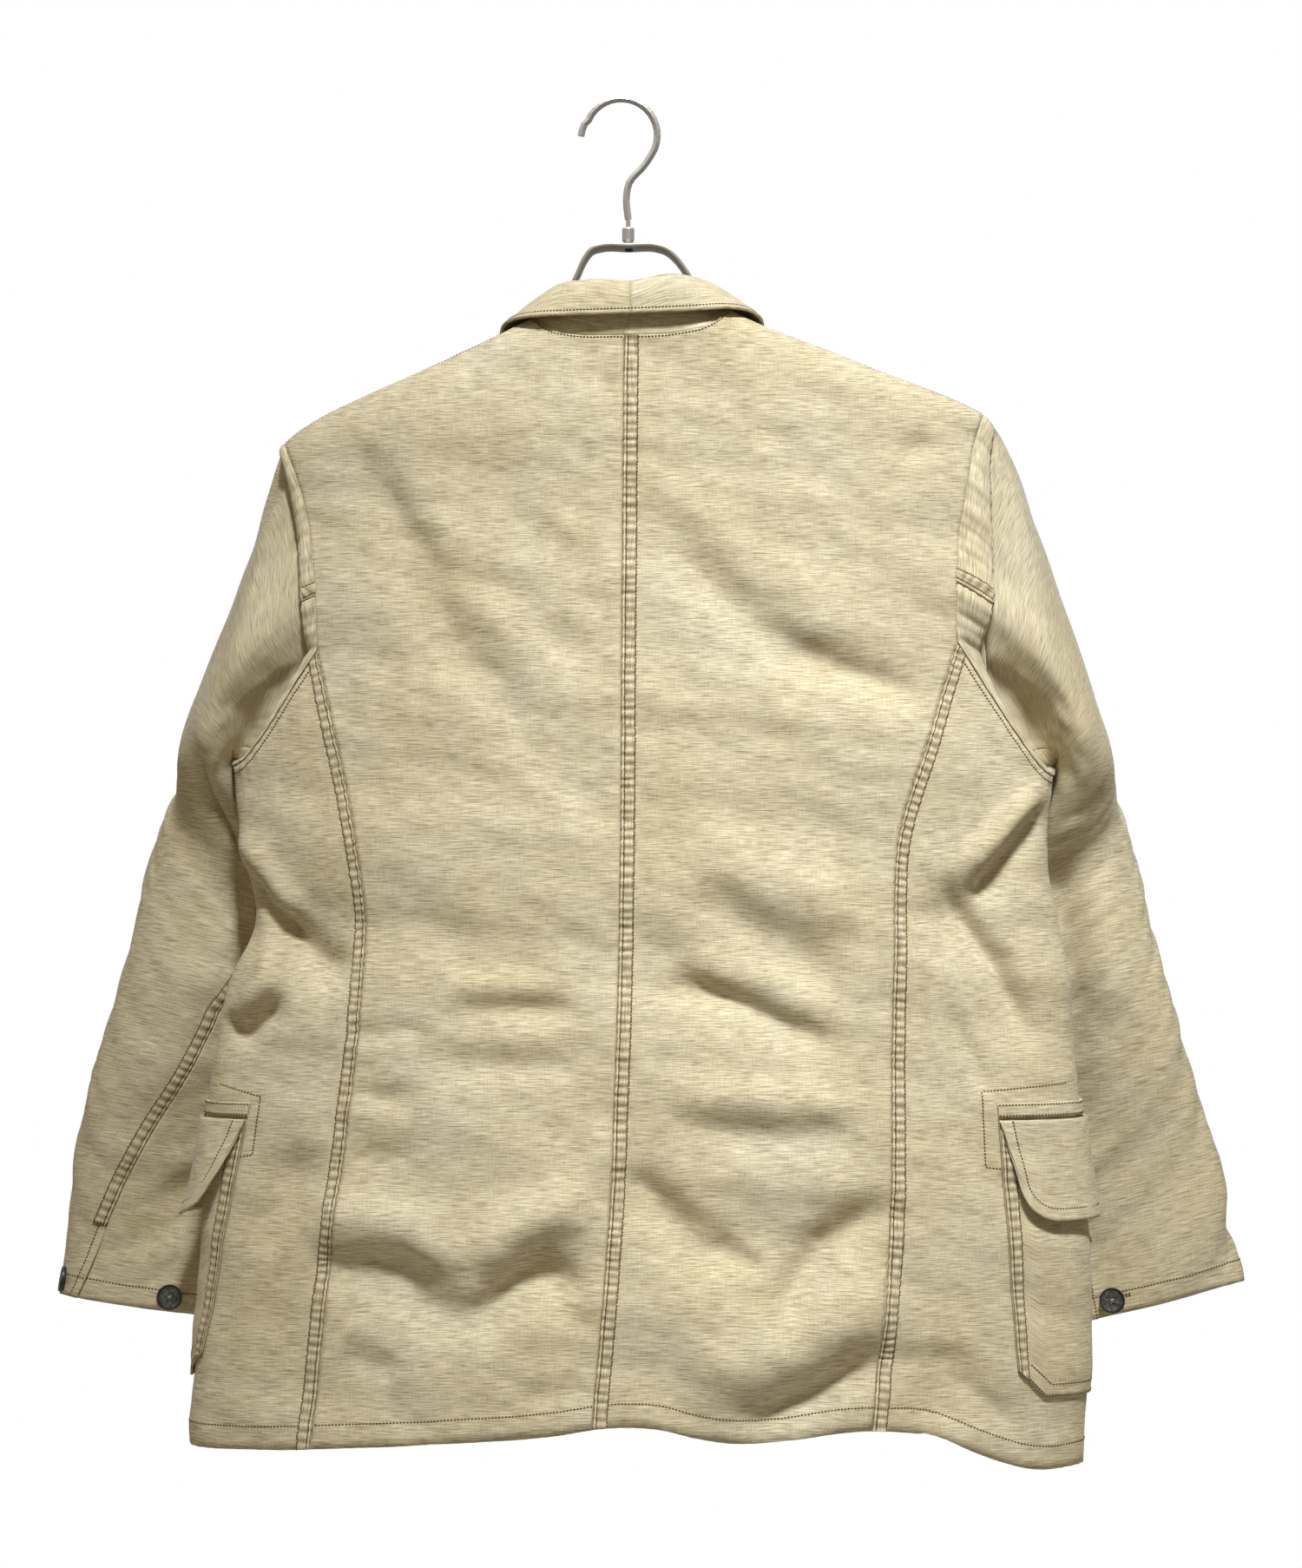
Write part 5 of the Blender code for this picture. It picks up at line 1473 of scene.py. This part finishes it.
def stitch_mesh(name, rows):
    """One mesh of all the stitches along rows of (points, outward directions)."""
    points = np.concatenate([stitch_forms(run, outward) for run, outward in rows])
    starts = len(STITCH_FORM) * np.arange(len(points))[:, None, None]
    faces = (starts + np.array(STITCH_TRIANGLES)).reshape(-1, 3).tolist()
    faces += (starts + np.array(STITCH_QUADS)).reshape(-1, 4).tolist()
    mesh = bpy.data.meshes.new(name)
    mesh.from_pydata(points.reshape(-1, 3).tolist(), [], faces)
    mesh.materials.append(thread)
    print(name, len(points), "stitches")
    return placed(name, mesh)


# %% [markdown]
# ## Rows on the body and collar
# The hem is turned up and sewn once, the shoulder seams are sewn twice, and the collar and
# underarm are edged with one row each.

# %% Rows on the body and collar
HEM_ROW = 0.0165
SHOULDER_ROWS = (0.0018, 0.0075)
NECK_ROW = 0.0012
UNDERARM_ROW = 0.0045
COLLAR_ROW = 0.0035
FRONT_EDGE_ROW = 0.006


def body_stitch_rows(side):
    sign = SIDES[side]
    back, beside, front = backs[side], besides[side], fronts[side]
    rows = [row_along(upturned(part), HEM_ROW, -sign) for part in (back, beside, front)]
    rows += [row_along(turned(back[:, NECK_COLUMNS:]), distance, sign) for distance in SHOULDER_ROWS]
    rows.append(row_along(turned(back[:, : NECK_COLUMNS + 1]), NECK_ROW, sign))
    rows.append(row_along(turned(beside), UNDERARM_ROW, sign))
    rows.append(row_along(front[ARMHOLE_ROWS:, ::-1], FRONT_EDGE_ROW, sign))
    return rows


body_rows = list(band_rows["centre_back_band"])
for side in SIDES:
    body_rows += band_rows[f"princess_band_{side}"]
collar_rows = []
for side in SIDES:
    body_rows += body_stitch_rows(side)
    collar_rows.append(row_along(collars[side][:, ::-1], COLLAR_ROW, -SIDES[side], COLLAR_CLOTH))
sewn = {
    "body_stitches": stitch_mesh("body_stitches", body_rows),
    "collar_stitches": stitch_mesh("collar_stitches", collar_rows),
}

# %% [markdown]
# ## Rows on the sleeves and pockets
# Each cuff is hemmed, the vent has its own row, and the pocket and flap are edged. A box of
# stitches beside each pocket mouth holds a stay sewn behind the cloth.

# %% Rows on the sleeves and pockets
CUFF_ROW = 0.0155
VENT_ROW = 0.006
VENT_ROW_ABOVE = 12
POCKET_ROWS_IN = (0.0012, 0.0092)
FLAP_ROW = 0.0088
FLAP_CORNER_STEPS = 12
CHAMFER_SHIFT = math.sqrt(2) - 1
WELT_ROW = 0.0014
BUTTONHOLE_UP = (0.0112, 0.0120, 0.0128)
BUTTONHOLE_SPAN = (0.023, 0.036)
BAR_POINTS = 14
STAY_BOX = {
    "left": [(-0.286, -0.699), (-0.255, -0.707), (-0.261, -0.748), (-0.272, -0.750)],
    "right": [(0.313, -0.698), (0.252, -0.703), (0.255, -0.756), (0.272, -0.758)],
}
ROW_STEP = 0.002
COLUMN_MARGIN = 0.01


def part_of(row, start, end):
    """The part of a row of stitches between two distances along it."""
    run, outward = row
    at = np.linspace(start, end, BAR_POINTS)
    return read_run(run, at), units(read_along(outward, lengths(run), at))


def sleeve_stitch_rows(side):
    sign = SIDES[side]
    upper, under = sleeves[side]
    rows = [row_along(upturned(part), CUFF_ROW, sign) for part in (upper, under)]
    rows.append(row_along(upper[vent_top_row - VENT_ROW_ABOVE :, ::-1], VENT_ROW, -sign))
    cuff = upturned(upper)[::-1]
    rows += [part_of(row_along(cuff, up, -sign), *BUTTONHOLE_SPAN) for up in BUTTONHOLE_UP]
    rows += band_rows[f"hind_strip_{side}"] + band_rows[f"hind_band_{side}"]
    return rows + band_ends[f"hind_band_{side}"]


def stay_row(side):
    """The stay's box of stitches, laid on the back of the body."""
    corners = np.array(STAY_BOX[side])
    flat = read_run(corners, np.arange(0, lengths(corners)[-1], ROW_STEP))
    _, outward, _ = bare_body(turn_at(flat[:, 0], flat[:, 1], "back"), flat[:, 1])
    return on_face(flat, "back") + CLOTH * outward, outward


def row_on(grid, foot, corners):
    """A row through places (distance, z), read on a pocket's or flap's own grid."""
    corners = np.array(corners)
    places = read_run(corners, np.arange(0, lengths(corners)[-1], ROW_STEP))
    columns = np.interp(places[:, 0], pocket_columns(), np.arange(POCKET_COLUMNS + 1))
    foot_z = np.interp(places[:, 0], pocket_columns(), foot)
    rows = np.clip((places[:, 1] - MOUTH_Z) / (foot_z - MOUTH_Z), 0, 1) * (len(grid) - 1)
    columns = np.clip(columns, 0, POCKET_COLUMNS - COLUMN_MARGIN)
    points = read_grid(grid, rows, columns)
    _, outward, _ = bare_body(turn_at(points[:, 0], points[:, 2], "back"), points[:, 2])
    return points + CLOTH * outward, outward


def flap_edge(inset):
    """Places this far inside the flap's back edge, round corner and lower edge."""
    foot = MOUTH_Z - FLAP_HEIGHT
    reach = FLAP_CORNER - inset
    turn = np.linspace(0, np.pi / 2, FLAP_CORNER_STEPS)
    arc = zip(FLAP_CORNER - reach * np.cos(turn), foot + FLAP_CORNER - reach * np.sin(turn))
    return [(inset, MOUTH_Z), *arc, (POCKET_WIDTH, foot + inset)]


def pocket_edge(side, inset):
    """Places this far inside the pocket's cut corner and lower edge."""
    foot = POCKET_FOOT[side]
    past = POCKET_CORNER + CHAMFER_SHIFT * inset
    return [(inset, foot + past), (past, foot + inset), (POCKET_WIDTH, foot + inset)]


def pocket_stitch_rows(side):
    sign = SIDES[side]
    pocket, mouth, cover = (trims[(name, side)] for name in ("pocket", "pocket_welt", "pocket_flap"))
    rows = [stay_row(side)] + band_rows[f"pocket_band_{side}"]
    pocket_foot = cut_corner(POCKET_FOOT[side], POCKET_CORNER)
    for inset in POCKET_ROWS_IN:
        rows.append(row_on(pocket, pocket_foot, pocket_edge(side, inset)))
    flap_foot = round_corner(MOUTH_Z - FLAP_HEIGHT, FLAP_CORNER)
    rows.append(row_on(cover, flap_foot, flap_edge(FLAP_ROW)))
    rows.append(row_along(turned(mouth), WELT_ROW, sign))
    rows.append(row_along(upturned(mouth), WELT_ROW, -sign))
    return rows


for part, rows_of in (("sleeve", sleeve_stitch_rows), ("pocket", pocket_stitch_rows)):
    for side in SIDES:
        name = f"{part}_stitches_{side}"
        sewn[name] = stitch_mesh(name, rows_of(side))

# %% [markdown]
# ## Buttons
# Each button is turned from dark, marbled horn: a raised rim, a dished middle and four holes, sewn
# on with a cross of pale thread. It starts as a cylinder whose upper face is inset and pushed in
# twice. A Boolean drills the holes, and each copy is then set where its solid sits.

# %% Buttons
BUTTON_RADIUS = 0.0093
BUTTON_THICKNESS = 0.0032
BUTTON_SIDES = 40
BUTTON_RIM = 0.0015
RIM_STEP = 0.0007
BUTTON_SLOPE = 0.0030
DISH_STEP = 0.0004
BUTTON_EDGE = 0.0005
HOLE_RADIUS = 0.00085
HOLE_PLACE = 0.0016
HOLE_SIDES = 12
SEWING_RADIUS = 0.00042
SEWING_SINK = 0.0009
BEVEL_STEPS = 2
BUTTON_SMOOTH = math.radians(35)
HORN_ROUGHNESS = 0.38
VEINS = {"Scale": 330.0, "Detail": 5.0, "Roughness": 0.65, "Distortion": 0.8}
VEIN_RANGE = (0.40, 0.68)


def marbled_material(name, dark, pale):
    """Dark horn with soft paler veins."""
    material = plain_material(name, dark, 0.0, HORN_ROUGHNESS)
    tree = material.node_tree
    places = node(tree, "ShaderNodeTexCoord")
    veins = node(tree, "ShaderNodeTexNoise", **VEINS)
    tree.links.new(places.outputs["Object"], veins.inputs["Vector"])
    share = ranged(tree, veins.outputs["Fac"], *VEIN_RANGE, 0, 1)
    tree.links.new(blended(tree, share, dark, pale), tree.nodes["Principled BSDF"].inputs["Base Color"])
    return material


def select_top(piece):
    """Selects only the highest face of a piece, in edit mode."""
    bpy.ops.object.mode_set(mode="EDIT")
    bpy.ops.mesh.select_mode(type="FACE")
    bpy.ops.mesh.select_all(action="DESELECT")
    bpy.ops.object.mode_set(mode="OBJECT")
    highest = max(piece.data.polygons, key=lambda face: face.center.z + face.normal.z)
    highest.select = True
    bpy.ops.object.mode_set(mode="EDIT")


def small_cylinder(radius, depth, place, turn=(0, 0, 0)):
    select_only()
    bpy.ops.mesh.primitive_cylinder_add(
        vertices=HOLE_SIDES, radius=radius, depth=depth, location=place, rotation=turn
    )
    return bpy.context.object


def horn_disc():
    """A dished disc at the origin that faces +Z, with four holes."""
    select_only()
    bpy.ops.mesh.primitive_cylinder_add(vertices=BUTTON_SIDES, radius=BUTTON_RADIUS, depth=BUTTON_THICKNESS)
    disc = bpy.context.object
    select_top(disc)
    for inset, step in ((BUTTON_RIM, RIM_STEP), (BUTTON_SLOPE, DISH_STEP)):
        bpy.ops.mesh.inset(thickness=inset)
        bpy.ops.transform.translate(value=(0, 0, -step))
    bpy.ops.object.mode_set(mode="OBJECT")
    corners = [(x, y) for x in (-HOLE_PLACE, HOLE_PLACE) for y in (-HOLE_PLACE, HOLE_PLACE)]
    drill = all_joined([small_cylinder(HOLE_RADIUS, 2 * BUTTON_THICKNESS, (x, y, 0)) for x, y in corners])
    add_modifier(disc, "BEVEL", width=BUTTON_EDGE, segments=BEVEL_STEPS)
    add_modifier(disc, "BOOLEAN", object=drill)
    apply_modifiers(disc)
    bpy.data.objects.remove(drill)
    bpy.ops.object.shade_smooth_by_angle(angle=BUTTON_SMOOTH)
    dress(disc, rim_horn, marbled_horn, sewing_thread)
    for face in disc.data.polygons:
        inside = face.center.z > 0 and face.center.to_2d().length < BUTTON_RADIUS - BUTTON_RIM
        face.material_index = 1 if inside else 0
    return disc


def sewing_strand(turn):
    """One thread from hole to hole across a button, at this turn about its middle."""
    height = BUTTON_THICKNESS / 2 - SEWING_SINK
    length = 2 * math.sqrt(2) * HOLE_PLACE
    strand = small_cylinder(SEWING_RADIUS, length, (0, 0, height), (math.pi / 2, 0, turn))
    dress(strand, rim_horn, marbled_horn, sewing_thread)
    for face in strand.data.polygons:
        face.material_index = 2
        face.use_smooth = True
    return strand


def button_form():
    """A button at the origin that faces +Z, sewn on with a cross of thread."""
    return all_joined([horn_disc(), sewing_strand(math.pi / 4), sewing_strand(-math.pi / 4)])


def points_of(solid):
    points = np.empty(3 * len(solid.data.vertices))
    solid.data.vertices.foreach_get("co", points)
    return points.reshape(-1, 3)


def axis_of(points, away):
    """Centre of a flat round solid, and its axis turned to point away from a place."""
    middle = points.mean(axis=0)
    _, _, axes = np.linalg.svd(points - middle, full_matrices=False)
    local = (points - middle) @ axes.T
    centre = middle + (local.min(axis=0) + local.max(axis=0)) / 2 @ axes
    return centre, axes[2] * np.sign(axes[2] @ (centre - away))


rim_horn = plain_material("dark_horn", (0.018, 0.018, 0.016), 0.0, 0.35)
marbled_horn = marbled_material("marbled_horn", (0.030, 0.031, 0.028), (0.150, 0.152, 0.138))
sewing_thread = plain_material("pale_thread", (0.30, 0.275, 0.215), 0.0, 0.8)
first_button = button_form()
buttons = {}
for name in sorted(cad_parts):
    if "button" not in name:
        continue
    outline = points_of(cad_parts[name])
    inside = outline.mean(axis=0) * (1, 0, 1)
    if name.startswith("cuff"):
        side = name.split("_")[2]
        inside = np.concatenate([piece[-1] for piece in sleeves[side]]).mean(axis=0)
    centre, way = axis_of(outline, inside)
    button = placed(f"{name}.horn", first_button.data.copy())
    turn = Vector(way).to_track_quat("Z", "Y").to_matrix().to_4x4()
    button.data.transform(Matrix.Translation(Vector(centre)) @ turn)
    buttons[name] = button
bpy.data.objects.remove(first_button)
print("buttons:", len(buttons), "of", len(button.data.polygons), "faces")

# %% [markdown]
# ## Hanger
# The hanger is a satin nickel strip on edge, bent to a handle loop and two arms, with a round hook
# in a ferrule. The hook and ferrule keep their solids. The strip is made again with more steps, so
# that its bends are round, and a dark oval of painted shade on its underside stands for the end of
# the rivet hole.

# %% Hanger
HANGER_DEPTH = 0.025
HANGER_THICKNESS = 0.003
HANGER_STEPS = 180
HANGER_BEVEL = 0.0005
HANGER_SMOOTH = math.radians(40)
HANDLE = [
    (-0.0720, -0.1750), (-0.0580, -0.1690), (-0.0490, -0.1560), (-0.0329, -0.1246),
    (-0.0270, -0.1120), (-0.0225, -0.1062), (-0.0150, -0.1039), (0.0040, -0.1039),
    (0.0230, -0.1039), (0.0305, -0.1062), (0.0365, -0.1110), (0.0446, -0.1215),
    (0.0590, -0.1490), (0.0680, -0.1620), (0.0830, -0.1690),
]
ARM_DROP = 0.0135
ARM_SHARES = (0.25, 0.50, 0.75)
RIVET_HOLE = (0.0031, 0.0075)
RIVET_X = 0.0040
RIVET_STEP = 0.0003


def hanger_path():
    """Places (x, z) along the strip, from the left arm's end to the right arm's end."""
    arms = {}
    for side in SIDES:
        line = shoulder_line(side) - (0, ARM_DROP)
        arms[side] = [tuple(line[round(share * SHOULDER_COLUMNS)]) for share in ARM_SHARES]
    return spread(arms["left"][::-1] + HANDLE + arms["right"], HANGER_STEPS)


def hanger_strip():
    path = hanger_path()
    points = np.empty((len(path), 2, 3))
    points[..., 0] = path[:, :1]
    points[..., 1] = (-HANGER_DEPTH / 2, HANGER_DEPTH / 2)
    points[..., 2] = path[:, 1:]
    strip = grid_sheet("hanger_strip", points, points[..., :2])
    add_modifier(strip, "SOLIDIFY", thickness=HANGER_THICKNESS, offset=0)
    add_modifier(strip, "BEVEL", width=HANGER_BEVEL, segments=BEVEL_STEPS)
    apply_modifiers(strip)
    bpy.ops.object.shade_smooth_by_angle(angle=HANGER_SMOOTH)
    dress(strip, strip_nickel)
    return strip


# A dark disc of painted shade that stands for the end of the rivet hole, which is not cut
def rivet_hole_shade():
    wide, deep = RIVET_HOLE
    underside = max(z for _, z in HANDLE) - HANGER_THICKNESS / 2
    hole = small_cylinder(wide, 2 * RIVET_STEP, (RIVET_X, 0, underside))
    bpy.ops.object.mode_set(mode="EDIT")
    bpy.ops.mesh.select_all(action="SELECT")
    bpy.ops.transform.resize(value=(1, deep / wide, 1), center_override=(RIVET_X, 0, underside))
    bpy.ops.object.mode_set(mode="OBJECT")
    bpy.ops.object.transform_apply(location=True, rotation=True, scale=True)
    hole.name = "rivet_hole_shade"
    hole.data.materials.append(plain_material("hole_shade", (0.010, 0.009, 0.008), 0.0, 0.9))
    return hole


nickel = plain_material("satin_nickel", (0.60, 0.56, 0.51), 1.0, 0.30)
strip_nickel = plain_material("strip_nickel", (0.36, 0.31, 0.25), 1.0, 0.38)
for name in ("hanger_hook", "hanger_ferrule"):
    dress(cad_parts[name], nickel)
hanger = {"strip": hanger_strip(), "hole": rivet_hole_shade()}
print("hanger strip:", len(hanger["strip"].data.polygons), "faces")

# %% [markdown]
# ## What each piece stands for
# Every shell rides on the jacket's one body, hides the solid it stands for, and states its cut:
# the rectangle it was cut from and the area of the cut itself.

# %% What each piece stands for
def area_of(points):
    """Area of a grid of points."""
    across = points[1:, 1:] - points[:-1, :-1]
    down = points[1:, :-1] - points[:-1, 1:]
    return 0.5 * np.linalg.norm(np.cross(across, down), axis=2).sum()


def grids_of(name):
    """The grids that one cloth piece was made from."""
    kind, _, side = name.rpartition("_")
    if kind == "back":
        return [backs[side]]
    if kind == "front":
        return [besides[side], fronts[side]]
    if kind == "collar":
        return [collars[side]]
    if kind.endswith("sleeve"):
        return [sleeves[side][("upper_sleeve", "under_sleeve").index(kind)]]
    return [trims[(kind, side)]]


def cut_size(grids):
    """Width and length of the rectangle that holds a piece's cut, and the cut's own area."""
    width = sum(runs_across(grid).max() for grid in grids)
    length = max(runs_across(turned(grid)).max() for grid in grids)
    return width, length, sum(area_of(grid) for grid in grids)


for name, piece in made_pieces.items():
    solid = name.removesuffix(".cloth")
    width, length, area = cut_size(grids_of(solid))
    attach(piece, "root")
    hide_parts(solid)
    print(f"{solid}: cut {width:.3f} x {length:.3f} m, {area:.4f} square metres")
for piece in (*bands.values(), *sewn.values()):
    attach(piece, "root")
for name, button in buttons.items():
    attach(button, "root")
    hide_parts(name)
for piece in hanger.values():
    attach(piece, "root")
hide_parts("hanger_frame")
print("cloth pieces:", len(made_pieces))

# %% [markdown]
# ## Floor, light and camera
# The photo is a cut-out on white, lit from above on the camera's side. The world is white to the
# camera but dim and warm as a light, so that one narrow lamp can model the folds. A second lamp
# lights the front, which the camera doesn't see.

# %% Floor, light and camera
FLOOR_Y = -0.3
FLOOR_Z = -1.25
FLOOR_SIZE = 1.6
TARGET = Vector((0.0198, 0.0, -0.4867))
CAMERA_DISTANCE = 2.6
FRAME_HEIGHT = 1.1197
SENSOR = 36.0
WORLD_LIGHT = 0.25
WORLD_WARMTH = (1.0, 0.86, 0.64)
ROOM_HEIGHTS = (-0.35, 0.65)
ROOM_SHADES = (0.10, 0.90)
# Place, aim and size in metres, and the beam in degrees
Lamp = namedtuple("Lamp", "name place aim size beam power colour")
LAMPS = [
    Lamp("key", (0.35, -2.6, 2.9), (0.11, 0.0, -0.53), 0.7, 17, 4.0, (0.96, 1.0, 1.04)),
    Lamp("fill", (0.0, 3.0, 1.6), TARGET, 2.0, 90, 14, (1.0, 1.0, 1.0)),
]


def white_world():
    """White to the camera, dim and warm as a light, and to mirrors a room pale above and dark below."""
    world = bpy.context.scene.world or bpy.data.worlds.new("studio")
    bpy.context.scene.world = world
    world.use_nodes = True
    tree = world.node_tree
    tree.nodes.clear()
    way = node(tree, "ShaderNodeTexCoord")
    parts = node(tree, "ShaderNodeSeparateXYZ")
    tree.links.new(way.outputs["Generated"], parts.inputs[0])
    room = ranged(tree, parts.outputs["Z"], *ROOM_HEIGHTS, *ROOM_SHADES)
    path = node(tree, "ShaderNodeLightPath")
    seen = path.outputs["Is Camera Ray"]
    mirrored = combined(tree, "MULTIPLY", path.outputs["Is Glossy Ray"], room)
    strength = combined(tree, "MAXIMUM", combined(tree, "MAXIMUM", seen, mirrored), WORLD_LIGHT)
    back = node(tree, "ShaderNodeBackground")
    plain = combined(tree, "MAXIMUM", seen, path.outputs["Is Glossy Ray"])
    tree.links.new(blended(tree, plain, WORLD_WARMTH, (1, 1, 1)), back.inputs["Color"])
    out = node(tree, "ShaderNodeOutputWorld")
    tree.links.new(strength, back.inputs["Strength"])
    tree.links.new(back.outputs[0], out.inputs["Surface"])


def area_light(lamp):
    """A square lamp with a narrowed beam, turned to its aim."""
    data = bpy.data.lights.new(lamp.name, "AREA")
    data.size = lamp.size
    data.spread = math.radians(lamp.beam)
    data.energy = lamp.power
    data.color = lamp.colour
    made = placed(lamp.name, data)
    made.location = lamp.place
    made.rotation_euler = (Vector(lamp.aim) - Vector(lamp.place)).to_track_quat("-Z", "Y").to_euler()


select_only()
bpy.ops.mesh.primitive_plane_add(size=FLOOR_SIZE, location=(TARGET.x, FLOOR_Y, FLOOR_Z))
floor = bpy.context.object
floor.name = "floor"
dress(floor, plain_material("pale_floor", (0.85, 0.85, 0.84), 0.0, 0.8))
white_world()
for lamp in LAMPS:
    area_light(lamp)
    print("lamp:", lamp.name)

camera = placed("camera", bpy.data.cameras.new("camera"))
camera.location = TARGET - Vector((0, CAMERA_DISTANCE, 0))
camera.rotation_euler = (math.pi / 2, 0, 0)
camera.data.sensor_fit = "VERTICAL"
camera.data.sensor_height = SENSOR
camera.data.lens = SENSOR * CAMERA_DISTANCE / FRAME_HEIGHT
bpy.context.scene.camera = camera
bpy.context.scene.view_settings.view_transform = "Standard"
